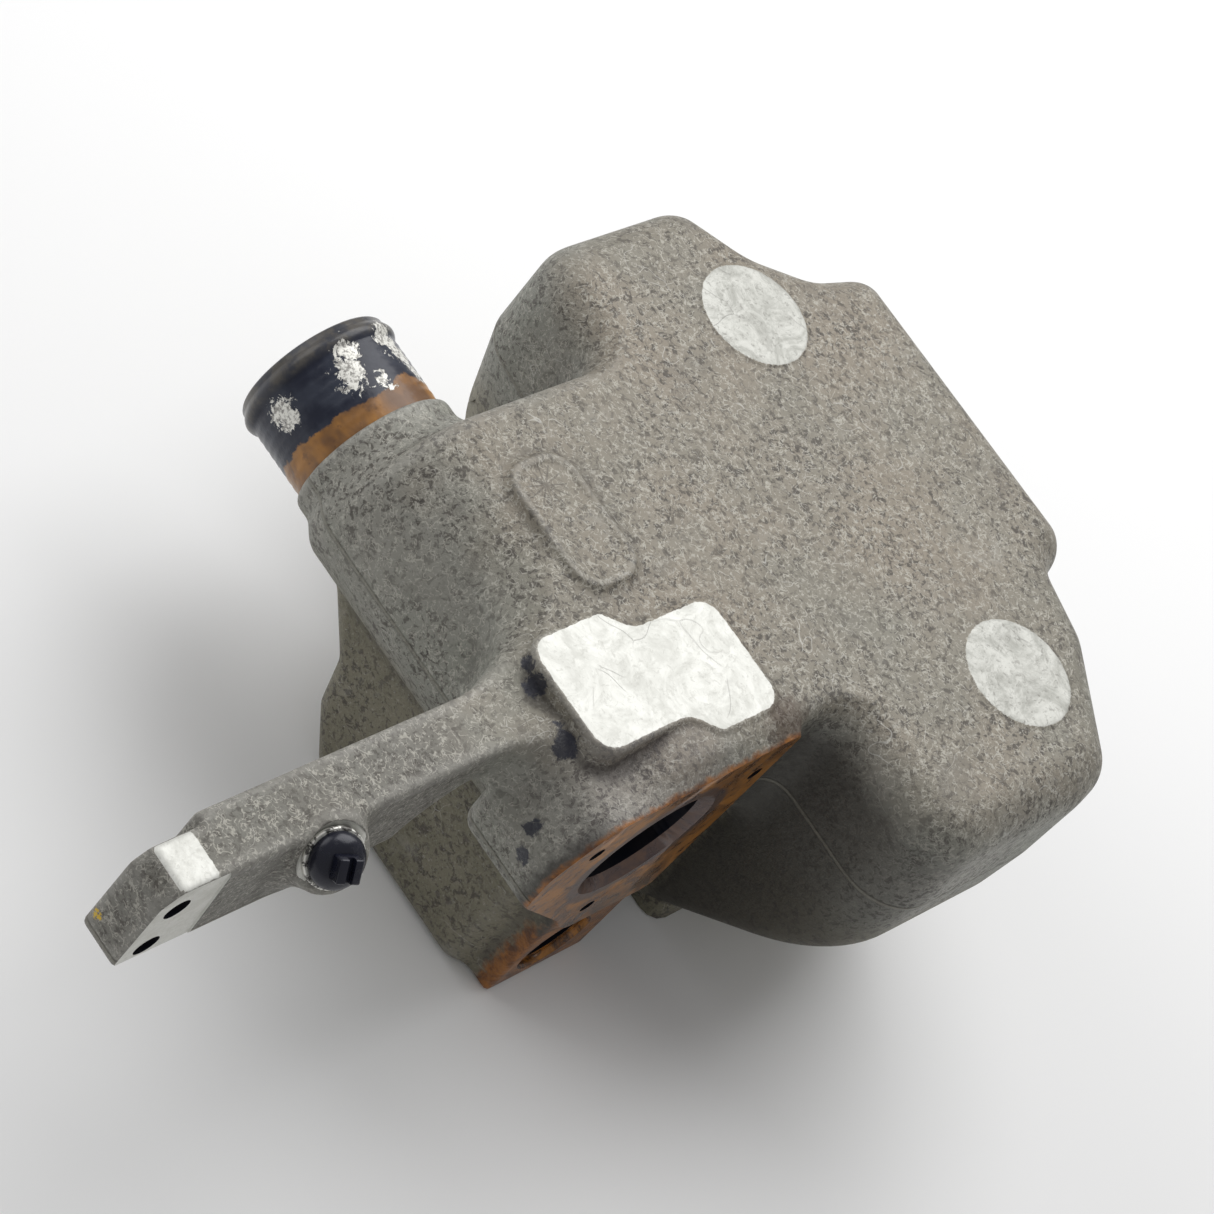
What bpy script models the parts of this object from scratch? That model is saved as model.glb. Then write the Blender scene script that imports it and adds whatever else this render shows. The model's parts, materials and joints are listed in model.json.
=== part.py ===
"""Axial piston pump in a die-cast housing with a hose neck, a port flange and a drilled arm.

Metres, +Z up. The origin is where the drive shaft's axis meets the mounting face, and the hose neck
points along -X, the port flange along +X and the arm along -Y.
"""

import math

import bmesh
import bpy
import mathutils

MM = 0.001
FIT = 0.3 * MM  # gap between pieces that touch
WELD = 0.01 * MM
OVERLAP = 5 * MM  # how far a joined or cutting shape runs past the face it meets

# ---- Housing: chamber ----
TOP_Z = 157 * MM  # height of the flat top above the mounting face
PARTING_DROP = 50 * MM  # from the top down to the parting line and the pipe's axis
ROUNDOVER = 18 * MM  # height of the rounding round the flat top
WALL = 8 * MM
ROOF = 9 * MM
COVER_T = 12 * MM
GASKET_T = 0.8 * MM
GASKET_BAND = 17 * MM  # the band reaches inside the screws
SHOULDER_RIGHT = 60 * MM  # where the sloping belly would meet the mounting face, right of the shaft
SHOULDER_LEFT = 72 * MM
RIM_TRIM = 1 * MM  # machined off the cast rim

# Outlines in millimetres: x, y, corner radius. The flat top, the widest section and the rim match
# corner by corner.
TOP_CORNERS = [
    (-76, 68, 10), (-83, 46, 22), (-103, 19, 25), (-127, 4, 12), (-127, -50, 14), (-84, -55, 20),
    (113, -60, 18), (120, 0, 30), (117, 14, 12), (78, 41, 20), (42, 50, 6), (36, 68, 10),
]
WALL_CORNERS = [
    (-87, 78, 12), (-94, 48, 25), (-112, 26, 30), (-141, 9, 14), (-141, -72, 24), (-84, -78, 20),
    (133, -84, 24), (135, 0, 40), (131, 19, 15), (84, 51, 25), (54, 59, 9), (47, 78, 12),
]
RIM_CORNERS = [
    (-84, 74, 12), (-91, 45, 25), (-109, 20, 30), (-133, 4, 14), (-126, -45, 24), (-84, -73, 20),
    (126, -79, 24), (128, 0, 40), (124, 15, 15), (80, 47, 25), (50, 56, 9), (43, 74, 12),
]

# ---- Housing: machined pads and marks on the top ----
PAD_R = 23.8 * MM
PAD_SPACING = 167.6 * MM
PAD_RISE = 0.6 * MM
TAG_LENGTH = 54 * MM
TAG_WIDTH = 30 * MM
TAG_X = -35 * MM
TAG_Y = -143 * MM
TAG_RISE = 2.2 * MM
TAG_CORNER_R = 9 * MM
PORT_PAD_RISE = 1.2 * MM
PORT_PAD_DRAFT = 5 * MM
PORT_PAD_BEVEL = 1 * MM
PORT_PAD_CORNERS = [
    (9, -110, 9), (56, -110, 9), (56, -143, 5), (46, -152, 10), (46, -195, 9), (-1, -195, 9),
    (-1, -159, 5), (9, -149, 10),
]

# ---- Housing: cross pipe, hose neck and port flange ----
PIPE_Y = -155 * MM
PIPE_R = 37 * MM
PIPE_BORE_R = 25 * MM
COLLAR_R = 32.5 * MM
COLLAR_X = -105 * MM  # outer face of the pipe's collar
BLOCK_LEFT_X = -87 * MM
BRIDGE_BACK_Y = -46 * MM  # inside the chamber's flat top
BRIDGE_DROP = 0.2 * MM  # just below the chamber's top, so that no two faces coincide
FLANGE_LIP = 4 * MM  # how far the flange's face stands out beyond the bridge
BLOCK_EDGE_R = 42 * MM
PIPE_STEP = 8 * MM  # the round pipe runs this far out of the bridge on the neck's side
SUCTION_X = -45 * MM
SUCTION_R = 15 * MM
SUCTION_WINDOW = 40 * MM
FLANGE_X = 68 * MM  # machined face of the port flange
FLANGE_T = 40 * MM
FLANGE_CHAMFER = 4 * MM
FLANGE_HOLE_R = 3.3 * MM
FLANGE_HOLE_DEPTH = 22 * MM
FLANGE_HOLE_PCD_R = 46 * MM
FLANGE_HOLE_ANGLES = (33, 153, 273)
FLANGE_CORNERS = [
    (-106, -3, 4), (-200, -11, 14), (-217, -33, 10), (-215, -54, 10), (-152, -112, 8), (-106, -112, 4),
]  # y, drop below the top, corner radius

NECK_R = 30 * MM
NECK_WALL = 2.5 * MM
NECK_LENGTH = 39 * MM
NECK_SEAT = 22 * MM  # how deep the neck is pressed into the collar
BEAD_RISE = 1.6 * MM
BEAD_WIDTH = 7 * MM

# ---- Housing: lower leg under the pipe ----
LEG_FACE_SETBACK = 1.5 * MM  # from the flange's face
LEG_FRONT_Y = -173 * MM
LEG_BACK_Y = -110 * MM
LEG_LIP_T = 12 * MM  # the face stands on a lip narrower than the leg
LEG_LIP_FRONT_Y = -163.5 * MM
LEG_LIP_DROP = 40 * MM  # the lip's top below the pipe's axis
LEG_LEFT_X = -38 * MM
LOWER_PORT_R = 13.5 * MM
LOWER_PORT_Z = 22.6 * MM
LOWER_PORT_DEPTH = 52 * MM
LOWER_PORT_RIM = 3 * MM

# ---- Housing: arm with its plug boss ----
ARM_LEFT_X = 3.2 * MM
ARM_WIDTH = 23.4 * MM
ARM_TOP_DROP = 9 * MM
ARM_HEIGHT = 44 * MM
ARM_END_Y = -370 * MM
ARM_EDGE = 1.5 * MM
ARM_TIP_STEP = 4.5 * MM  # the tip is narrower on its left side
ARM_TIP_LENGTH = 27 * MM
ARM_END_CHAMFER = 7 * MM
ARM_HOLE_R = 5 * MM
ARM_HOLE_SPACING = 23.5 * MM
ARM_HOLE_INSET = 11 * MM  # hole centres from the arm's end
ARM_HOLE_DROP = 13.5 * MM  # upper hole from the arm's top
ARM_ARCH_Y = -246 * MM
ARM_ARCH_R = 30 * MM
ARM_ARCH_DROP = 4 * MM  # the arch's centre below the arm
PLUG_Y = -301 * MM
PLUG_REACH = 24.8 * MM  # from the gallery's side to the boss face
PLUG_DROP = 13 * MM  # where the plug's axis starts, below the gallery's
PLUG_BOSS_R = 13.5 * MM
PLUG_DIRECTION = (0.70, -0.31, 0.60)
PLUG_HOLE_R = 7 * MM
PLUG_COLLAR_R = 10 * MM
GALLERY_R = 4 * MM
GALLERY_DROP = 10 * MM  # from the arm's top down to the gallery's axis
GALLERY_X = 15.2 * MM

# ---- Rotating group ----
SHAFT_R = 11 * MM
SHAFT_FRONT_R = 12 * MM
BLOCK_R = 42 * MM
BLOCK_LENGTH = 50 * MM
PISTONS = 9
PISTON_R = 7.2 * MM
PISTON_CROWN_DROP = 12 * MM  # from the block's port face down to the pistons' crowns
PISTON_PCD_R = 29 * MM
BALL_R = 5.2 * MM
SLIPPER_R = 9.4 * MM
SLIPPER_FOOT = 2.7 * MM
HEAD_R = 48 * MM
HEAD_DROP = 27 * MM  # from the top down to the face that the valve plate seats on
VALVE_PLATE_T = 5 * MM
KIDNEY_HALF_ANGLE = 62  # degrees
KIDNEY_HALF_WIDTH = 4 * MM
SPRING_R = 14 * MM
SPRING_WIRE = 1.4 * MM
SPRING_TURNS = 3

# ---- Swashplate and its control ----
SWASH_Z = 50 * MM  # face that the slippers run on, and the tilt axis
SWASH_T = 12 * MM
SWASH_R = 46 * MM
SWASH_ARM_REACH = 72 * MM
SWASH_ARM_WIDTH = 22 * MM
CRADLE_R = 29 * MM
CRADLE_INNER_Y = 19 * MM
CRADLE_WIDTH = 15 * MM
CRADLE_SHELL_T = 1.5 * MM
CONTROL_X = 63 * MM
CONTROL_R = 8 * MM
CONTROL_SLEEVE_WALL = 5 * MM
CONTROL_SLEEVE_DROP = 35 * MM  # how far it reaches below the head's face
BIAS_POCKET_DROP = 12 * MM
BIAS_SPRING_R = 8 * MM
BIAS_SPRING_WIRE = 1.5 * MM

# ---- Mounting cover, bearings and fasteners ----
PILOT_R = 35 * MM
PILOT_DEPTH = 3 * MM
BEARING_R = 26 * MM
BEARING_BASE_Z = 8.5 * MM
BEARING_WIDTH = 8.8 * MM
ROLLER_R = 2.4 * MM
ROLLERS = 10
NEEDLE_R = 1.3 * MM
NEEDLES = 10
NEEDLE_SHELL_R = 15.7 * MM
NEEDLE_SHELL_WALL = 1.4 * MM
SEAL_R = 18.7 * MM
SEAL_T = 4 * MM
SCREW_R = 4 * MM
SCREW_HEAD_R = 6.5 * MM
SCREW_HEAD_H = 7 * MM
SCREW_LENGTH = 26 * MM
SCREW_BOSS_R = 9 * MM
SCREW_PLACES = [(-73, 62), (32, 62), (63, 36), (63, -66), (-6, -66), (-73, -62)]  # millimetres
DOWEL_R = 3 * MM
DOWEL_LENGTH = 14 * MM
DOWEL_PLACES = [(-73, 20), (64, -20)]  # millimetres
COVER_CORNERS = [(-83, 72, 8), (42, 72, 8), (48, 54, 6), (73, 47, 8), (73, -76, 8), (-83, -72, 8)]

# ---- Values that follow from the ones above ----
PIPE_Z = TOP_Z - PARTING_DROP
RIM_Z = COVER_T + GASKET_T + 2 * FIT
HEAD_Z = TOP_Z - HEAD_DROP
VALVE_PLATE_Z = HEAD_Z - FIT - VALVE_PLATE_T
BLOCK_TOP_Z = VALVE_PLATE_Z - FIT
BLOCK_BASE_Z = BLOCK_TOP_Z - BLOCK_LENGTH
ARM_TOP_Z = TOP_Z - ARM_TOP_DROP
ARM_RIGHT_X = ARM_LEFT_X + ARM_WIDTH
GALLERY_Z = ARM_TOP_Z - GALLERY_DROP
SLIPPER_Z = SWASH_Z + FIT
BALL_Z = SLIPPER_Z + SLIPPER_FOOT + BALL_R + 3 * MM
NECK_END_X = COLLAR_X - NECK_LENGTH


def fresh_scene():
    for obj in list(bpy.data.objects):
        bpy.data.objects.remove(obj, do_unlink=True)


def collection(name):
    made = bpy.data.collections.new(name)
    bpy.context.scene.collection.children.link(made)
    return made


fresh_scene()
PARTS = collection("axial_piston_pump")
CUTTERS = collection("cutters")


def material(name, colour, metallic, roughness):
    made = bpy.data.materials.new(name)
    made.use_nodes = True
    shader = made.node_tree.nodes["Principled BSDF"]
    shader.inputs["Base Color"].default_value = (*colour, 1)
    shader.inputs["Metallic"].default_value = metallic
    shader.inputs["Roughness"].default_value = roughness
    return made


CAST = ((0.36, 0.34, 0.31), 0.6, 0.6)
STEEL = ((0.56, 0.56, 0.57), 1.0, 0.3)
GROUND_STEEL = ((0.68, 0.68, 0.69), 1.0, 0.18)
DARK_STEEL = ((0.12, 0.12, 0.13), 1.0, 0.4)
BRONZE = ((0.62, 0.40, 0.16), 1.0, 0.3)
BLUE_BLACK = ((0.02, 0.022, 0.035), 0.3, 0.35)
RUBBER = ((0.02, 0.02, 0.02), 0.0, 0.7)
FIBRE = ((0.10, 0.09, 0.08), 0.0, 0.8)


def finished(obj, look, smooth_degrees=35):
    """Puts a piece in the parts collection with a material of its own, round faces shaded smooth."""
    obj.data.materials.clear()
    obj.data.materials.append(material(obj.name, *look))
    obj.data.shade_smooth()
    obj.data.set_sharp_from_angle(angle=math.radians(smooth_degrees))
    for other in list(obj.users_collection):
        other.objects.unlink(obj)
    PARTS.objects.link(obj)
    return obj


def tool(obj):
    """Puts a shape that cuts or joins others in the cutters collection."""
    for other in list(obj.users_collection):
        other.objects.unlink(obj)
    CUTTERS.objects.link(obj)
    obj.hide_render = True
    obj.display_type = "WIRE"
    return obj


def boolean(target, other, operation):
    step = target.modifiers.new(other.name, "BOOLEAN")
    step.operation = operation
    step.solver = "EXACT"
    step.object = tool(other)
    return target


def cut(target, *others):
    for other in others:
        boolean(target, other, "DIFFERENCE")
    return target


def join(target, *others):
    for other in others:
        boolean(target, other, "UNION")
    return target


def from_bmesh(name, shape):
    mesh = bpy.data.meshes.new(name)
    shape.to_mesh(mesh)
    shape.free()
    obj = bpy.data.objects.new(name, mesh)
    bpy.context.scene.collection.objects.link(obj)
    return obj


def in_metres(corners):
    return [tuple(value * MM for value in corner) for corner in corners]


def rounded(corners, steps=3):
    """Points round a closed outline whose corners (x, y, radius) are arcs, each of steps + 1 points."""
    points = []
    for i, (x, y, radius) in enumerate(corners):
        corner = mathutils.Vector((x, y))
        back = (mathutils.Vector(corners[i - 1][:2]) - corner).normalized()
        ahead = (mathutils.Vector(corners[(i + 1) % len(corners)][:2]) - corner).normalized()
        half = back.angle(ahead) / 2
        middle = (back + ahead).normalized()
        centre = corner + middle * (radius / math.sin(half))
        start = -(math.pi / 2 - half)
        turn = 1 if back.cross(ahead) < 0 else -1
        outward = math.atan2(-middle.y, -middle.x)
        for step in range(steps + 1):
            angle = outward + turn * (start + (math.pi - 2 * half) * step / steps)
            points.append(centre + radius * mathutils.Vector((math.cos(angle), math.sin(angle))))
    return points


def area(points):
    return sum(a.cross(b) for a, b in zip(points, points[1:] + points[:1])) / 2


def inset(points, distance):
    """The outline moved inwards, each point along the normal between its two sides."""
    side = 1 if area(points) > 0 else -1
    moved = []
    for i, point in enumerate(points):
        along = (points[(i + 1) % len(points)] - points[i - 1]).normalized()
        moved.append(point + side * distance * mathutils.Vector((-along.y, along.x)))
    return moved


def between(start, end, share):
    return [a.lerp(b, share) for a, b in zip(start, end)]


def loft(name, rings):
    """A closed solid through rings, each (height, points), with as many points in every ring."""
    shape = bmesh.new()
    loops = [[shape.verts.new((p.x, p.y, z)) for p in points] for z, points in rings]
    for low, high in zip(loops, loops[1:]):
        for i in range(len(low)):
            shape.faces.new((low[i - 1], low[i], high[i], high[i - 1]))
    shape.faces.new(loops[0])
    shape.faces.new(loops[-1])
    bmesh.ops.recalc_face_normals(shape, faces=shape.faces)
    return from_bmesh(name, shape)


TURNS = {
    "X": (math.pi / 2, 0, math.pi / 2),  # outline is y, z
    "Y": (math.pi / 2, 0, 0),  # outline is x, z
    "Z": (0, 0, 0),  # outline is x, y
}


def plate(name, points, low, high, axis="Z"):
    """A flat outline given thickness from low to high along an axis."""
    curve = bpy.data.curves.new(name, "CURVE")
    curve.dimensions = "2D"
    curve.fill_mode = "BOTH"
    curve.extrude = (high - low) / 2
    spline = curve.splines.new("POLY")
    spline.points.add(len(points) - 1)
    for knot, point in zip(spline.points, points):
        knot.co = (point[0], point[1], 0, 1)
    spline.use_cyclic_u = True
    outline = bpy.data.objects.new(name + "_outline", curve)
    bpy.context.scene.collection.objects.link(outline)
    outline.rotation_euler = TURNS[axis]
    outline.location["XYZ".index(axis)] = (low + high) / 2
    return solid_from_curve(name, outline)


def solid_from_curve(name, outline):
    """A mesh of the curve with its caps welded on, in the curve's place."""
    bpy.context.view_layer.update()
    evaluated = outline.evaluated_get(bpy.context.evaluated_depsgraph_get())
    mesh = bpy.data.meshes.new_from_object(evaluated)
    mesh.name = name
    shape = bmesh.new()
    shape.from_mesh(mesh)
    bmesh.ops.remove_doubles(shape, verts=shape.verts, dist=WELD)
    bmesh.ops.recalc_face_normals(shape, faces=shape.faces)
    shape.to_mesh(mesh)
    shape.free()
    obj = bpy.data.objects.new(name, mesh)
    bpy.context.scene.collection.objects.link(obj)
    obj.matrix_world = outline.matrix_world.copy()
    bpy.data.objects.remove(outline, do_unlink=True)
    return obj


def box(name, low, high):
    shape = bmesh.new()
    size = [b - a for a, b in zip(low, high)]
    middle = [(a + b) / 2 for a, b in zip(low, high)]
    place = mathutils.Matrix.Translation(middle) @ mathutils.Matrix.Diagonal((*size, 1))
    bmesh.ops.create_cube(shape, size=1, matrix=place)
    return from_bmesh(name, shape)


def rod(name, radius, start, end, sides=20, end_radius=None):
    """A cylinder, or a cone where end_radius differs, from start to end."""
    start = mathutils.Vector(start)
    end = mathutils.Vector(end)
    shape = bmesh.new()
    bmesh.ops.create_cone(
        shape,
        cap_ends=True,
        segments=sides,
        radius1=radius,
        radius2=radius if end_radius is None else end_radius,
        depth=(end - start).length,
    )
    obj = from_bmesh(name, shape)
    obj.location = (start + end) / 2
    obj.rotation_euler = (end - start).to_track_quat("Z", "Y").to_euler()
    return obj


def turned(name, profile, sides=20, closed=False):
    """A turned shape about Z. The profile (radius, height) runs down its outer side."""
    mesh = bpy.data.meshes.new(name)
    edges = [(i, i + 1) for i in range(len(profile) - 1)]
    if closed:
        edges.append((len(profile) - 1, 0))
    mesh.from_pydata([(radius, 0, height) for radius, height in profile], edges, [])
    obj = bpy.data.objects.new(name, mesh)
    bpy.context.scene.collection.objects.link(obj)
    screw = obj.modifiers.new("turn", "SCREW")
    screw.steps = sides
    screw.render_steps = sides
    screw.use_merge_vertices = True
    screw.merge_threshold = WELD
    return obj


def ring(name, inner, outer, low, high, sides=20):
    profile = [(inner, high), (outer, high), (outer, low), (inner, low)]
    return turned(name, profile, sides, closed=True)


def arc(centre, radius, first, last, steps):
    """Points (radius, height) or (x, y) along an arc, angles in degrees."""
    found = []
    for i in range(steps + 1):
        angle = math.radians(first + (last - first) * i / steps)
        found.append((centre[0] + radius * math.cos(angle), centre[1] + radius * math.sin(angle)))
    return found


def place_mm(pair, height):
    return (pair[0] * MM, pair[1] * MM, height)


# ---- Housing ----


def chamber():
    """The flat-topped body, rounded over to its widest section and leaning in to the rim."""
    top = rounded(in_metres(TOP_CORNERS))
    wall = rounded(in_metres(WALL_CORNERS))
    rings = [(RIM_Z - RIM_TRIM, rounded(in_metres(RIM_CORNERS))), (PIPE_Z, wall)]
    for degrees in (90, 60, 30, 0):
        share = math.sin(math.radians(degrees))
        drop = ROUNDOVER * (1 - math.cos(math.radians(degrees)))
        rings.append((TOP_Z - drop, between(top, wall, share)))
    body = loft("main_housing", rings)
    return cut(body, belly("belly_left", -1, SHOULDER_LEFT), belly("belly_right", 1, SHOULDER_RIGHT))


def belly(name, side, shoulder):
    """The corner that the sloping underside leaves off, below a 45 degree slope outside shoulder."""
    size = TOP_Z
    corners = [(side * (shoulder - size / 2), -size / 2), (side * (shoulder + size), size)]
    corners.append((side * (shoulder + 2 * size), -size / 2))
    return plate(name, corners, -size, size, "Y")


def chamber_space():
    top = rounded(in_metres(TOP_CORNERS))
    inner = inset(rounded(in_metres(WALL_CORNERS)), WALL)
    mouth = inset(rounded(in_metres(RIM_CORNERS)), WALL)
    rings = [(-COVER_T, mouth), (RIM_Z, mouth), (PIPE_Z, inner)]
    rings += [(TOP_Z - ROUNDOVER - WALL, inner), (TOP_Z - ROOF, between(top, inner, 0.1))]
    space = loft("chamber_space", rings)
    slope = WALL * math.sqrt(2)
    for name, side, shoulder in (("left", -1, SHOULDER_LEFT), ("right", 1, SHOULDER_RIGHT)):
        cut(space, belly("space_" + name, side, shoulder - slope))
    return space


def bridge():
    """The block between the chamber and the pipe, with its long rounded front edge."""
    front = PIPE_Y - PIPE_R
    corners = [
        (BRIDGE_BACK_Y, TOP_Z - BRIDGE_DROP, 0.1 * MM),
        (front, TOP_Z - BRIDGE_DROP, BLOCK_EDGE_R),
        (front, PIPE_Z - 12 * MM, 10 * MM),
        (BRIDGE_BACK_Y, PIPE_Z - 30 * MM, 0.1 * MM),
    ]
    return plate("bridge", rounded(corners, 8), BLOCK_LEFT_X, FLANGE_X - FLANGE_LIP, "X")


def flange_block():
    corners = [(y * MM, TOP_Z + drop * MM, radius * MM) for y, drop, radius in FLANGE_CORNERS]
    return plate("flange_block", rounded(corners), FLANGE_X - FLANGE_T, FLANGE_X, "X")


def leg():
    """The leg under the pipe, which stands on the mounting face's plane and holds the lower port."""
    face = FLANGE_X - LEG_FACE_SETBACK
    right = face - LEG_LIP_T
    corners = [
        (right, PIPE_Z, 2 * MM),
        (right, 0, 6 * MM),
        (LEG_LEFT_X, 0, 14 * MM),
        (LEG_LEFT_X - 17 * MM, 24 * MM, 8 * MM),
        (LEG_LEFT_X - 22 * MM, 46 * MM, 9 * MM),
        (BLOCK_LEFT_X + 2 * MM, 74 * MM, 9 * MM),
        (BLOCK_LEFT_X + 2 * MM, PIPE_Z, 2 * MM),
    ]
    block = plate("leg", rounded(corners), LEG_FRONT_Y, LEG_BACK_Y, "Y")
    low = (right - OVERLAP, LEG_LIP_FRONT_Y, BRIDGE_DROP)
    lip = box("leg_lip", low, (face, LEG_BACK_Y - BRIDGE_DROP, PIPE_Z - LEG_LIP_DROP))
    return join(block, lip)


def port_pad():
    """The raised pad, with a bevel round its top and drafted walls down into the bridge."""
    top = rounded(in_metres(PORT_PAD_CORNERS))
    high = TOP_Z + PORT_PAD_RISE
    rings = [
        (PIPE_Z + OVERLAP, inset(top, -PORT_PAD_DRAFT - PORT_PAD_BEVEL)),
        (high - PORT_PAD_BEVEL, inset(top, -PORT_PAD_BEVEL)),
        (high, top),
    ]
    return loft("port_pad", rings)


def arm():
    """The drilled arm: a bar with a narrower chamfered tip."""
    foot = ARM_TOP_Z - ARM_HEIGHT
    bar = box("arm", (ARM_LEFT_X, ARM_END_Y, foot), (ARM_RIGHT_X, PIPE_Y, ARM_TOP_Z))
    edge = bar.modifiers.new("edges", "BEVEL")
    edge.width = ARM_EDGE
    edge.segments = 2
    tip_y = ARM_END_Y + ARM_TIP_LENGTH
    step = box(
        "arm_tip_step",
        (ARM_LEFT_X - OVERLAP, ARM_END_Y - OVERLAP, foot - OVERLAP),
        (ARM_LEFT_X + ARM_TIP_STEP, tip_y, ARM_TOP_Z + OVERLAP),
    )
    chamfer = plate(
        "arm_end_chamfer",
        [
            (ARM_END_Y - OVERLAP, ARM_TOP_Z - ARM_END_CHAMFER - OVERLAP),
            (ARM_END_Y + ARM_END_CHAMFER + OVERLAP, ARM_TOP_Z + OVERLAP),
            (ARM_END_Y - OVERLAP, ARM_TOP_Z + OVERLAP),
        ],
        ARM_LEFT_X - OVERLAP,
        ARM_RIGHT_X + OVERLAP,
        "X",
    )
    arch_y = ARM_ARCH_Y + ARM_ARCH_R
    arch_z = foot - ARM_ARCH_DROP
    low = (ARM_LEFT_X - OVERLAP, arch_y, arch_z)
    arch = rod("arm_arch", ARM_ARCH_R, low, (ARM_RIGHT_X + OVERLAP, arch_y, arch_z))
    return cut(bar, step, chamfer, arch)


def plug_axis():
    """A point on the arm's middle line and the plug's direction, and the distance to the boss face."""
    direction = mathutils.Vector(PLUG_DIRECTION).normalized()
    middle = mathutils.Vector((GALLERY_X, PLUG_Y - direction.y * PLUG_REACH, GALLERY_Z - PLUG_DROP))
    return middle, direction, PLUG_REACH


def head():
    """The boss under the roof that carries the valve plate, with a rib for the gallery."""
    boss = rod("head", HEAD_R, (0, 0, HEAD_Z), (0, 0, TOP_Z - ROOF + 2 * MM), 32)
    rib = box(
        "gallery_rib",
        (GALLERY_X - 2 * GALLERY_R, -80 * MM, HEAD_Z + 1 * MM),
        (GALLERY_X + 2 * GALLERY_R, -30 * MM, TOP_Z - ROOF + 1 * MM),
    )
    return join(boss, rib)


def kidney(name, centre_degrees, low, high):
    low_end = centre_degrees - KIDNEY_HALF_ANGLE
    high_end = centre_degrees + KIDNEY_HALF_ANGLE
    outer = arc((0, 0), PISTON_PCD_R + KIDNEY_HALF_WIDTH, low_end, high_end, 8)
    inner = arc((0, 0), PISTON_PCD_R - KIDNEY_HALF_WIDTH, high_end, low_end, 8)
    return plate(name, outer + inner, low, high)


def pipe_rod(name, radius, start_x, end_x, sides=32, end_radius=None):
    """A cylinder or cone on the cross pipe's axis."""
    return rod(name, radius, (start_x, PIPE_Y, PIPE_Z), (end_x, PIPE_Y, PIPE_Z), sides, end_radius)


def outside():
    """Everything of the casting that stands on or beside the chamber."""
    body = chamber()
    join(body, bridge(), flange_block(), leg())
    join(body, pipe_rod("pipe", PIPE_R, BLOCK_LEFT_X - PIPE_STEP, FLANGE_X - 10 * MM))
    join(body, pipe_rod("collar", COLLAR_R, COLLAR_X, COLLAR_X + 30 * MM))
    join(body, port_pad(), arm())
    middle, direction, reach = plug_axis()
    face = middle + direction * reach
    join(body, rod("plug_boss", PLUG_BOSS_R, middle, face))
    cut(body, rod("plug_spot_face", PLUG_BOSS_R - 0.5 * MM, face, face + direction * 4 * OVERLAP))
    left = TAG_X - TAG_LENGTH / 2
    right = TAG_X + TAG_LENGTH / 2
    front = TAG_Y - TAG_WIDTH / 2
    back = TAG_Y + TAG_WIDTH / 2
    places = ((left, front), (right, front), (right, back), (left, back))
    outline = rounded([(x, y, TAG_CORNER_R) for x, y in places])
    join(body, plate("casting_tag", outline, TOP_Z - OVERLAP, TOP_Z + TAG_RISE))
    for name, side in (("pad_left", -1), ("pad_right", 1)):
        x = side * PAD_SPACING / 2
        join(body, rod(name, PAD_R, (x, 0, TOP_Z - OVERLAP), (x, 0, TOP_Z + PAD_RISE), 32))
    return body


def hang(body, name, radius, x, drop, sides=24):
    """A boss that hangs from the roof at x, down to drop below the head."""
    return join(body, rod(name, radius, (x, 0, HEAD_Z - drop), (x, 0, TOP_Z - ROOF + 2 * MM), sides))


def inside(body):
    """The chamber's hollow, and the head and bosses that stand in it."""
    cut(body, chamber_space())
    join(body, head())
    low = RIM_Z - 2 * RIM_TRIM
    high = RIM_Z + SCREW_LENGTH
    bosses = [(place, SCREW_BOSS_R) for place in SCREW_PLACES]
    bosses += [(place, 2 * DOWEL_R) for place in DOWEL_PLACES]
    for i, (place, radius) in enumerate(bosses):
        join(body, rod(f"rim_boss_{i + 1}", radius, place_mm(place, low), place_mm(place, high), 12))
    rim = inset(rounded(in_metres(COVER_CORNERS)), -COVER_T)
    cut(body, plate("rim_trim", rim, -COVER_T, RIM_Z))
    sleeve = CONTROL_R + CONTROL_SLEEVE_WALL
    hang(body, "control_sleeve", sleeve, -CONTROL_X, CONTROL_SLEEVE_DROP)
    hang(body, "bias_pocket", sleeve, CONTROL_X, BIAS_POCKET_DROP)
    return body


def pipe_cuts(body):
    """The bore through the pipe, the neck's seat, the flange's chamfer and its three holes."""
    past_flange = FLANGE_X + OVERLAP
    cut(body, pipe_rod("pipe_bore", PIPE_BORE_R, COLLAR_X - OVERLAP, past_flange))
    cut(body, pipe_rod("neck_seat", NECK_R + FIT, COLLAR_X - OVERLAP, COLLAR_X + NECK_SEAT))
    low_x = FLANGE_X - FLANGE_CHAMFER - 1 * MM
    high_x = FLANGE_X + 1 * MM
    high_r = PIPE_BORE_R + FLANGE_CHAMFER + 1 * MM
    cut(body, pipe_rod("flange_chamfer", PIPE_BORE_R - 1 * MM, low_x, high_x, 40, high_r))
    for i, degrees in enumerate(FLANGE_HOLE_ANGLES):
        y = PIPE_Y + FLANGE_HOLE_PCD_R * math.cos(math.radians(degrees))
        z = PIPE_Z + FLANGE_HOLE_PCD_R * math.sin(math.radians(degrees))
        deep = FLANGE_X - FLANGE_HOLE_DEPTH
        cut(body, rod(f"flange_hole_{i + 1}", FLANGE_HOLE_R, (deep, y, z), (past_flange, y, z), 10))
    return body


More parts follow.
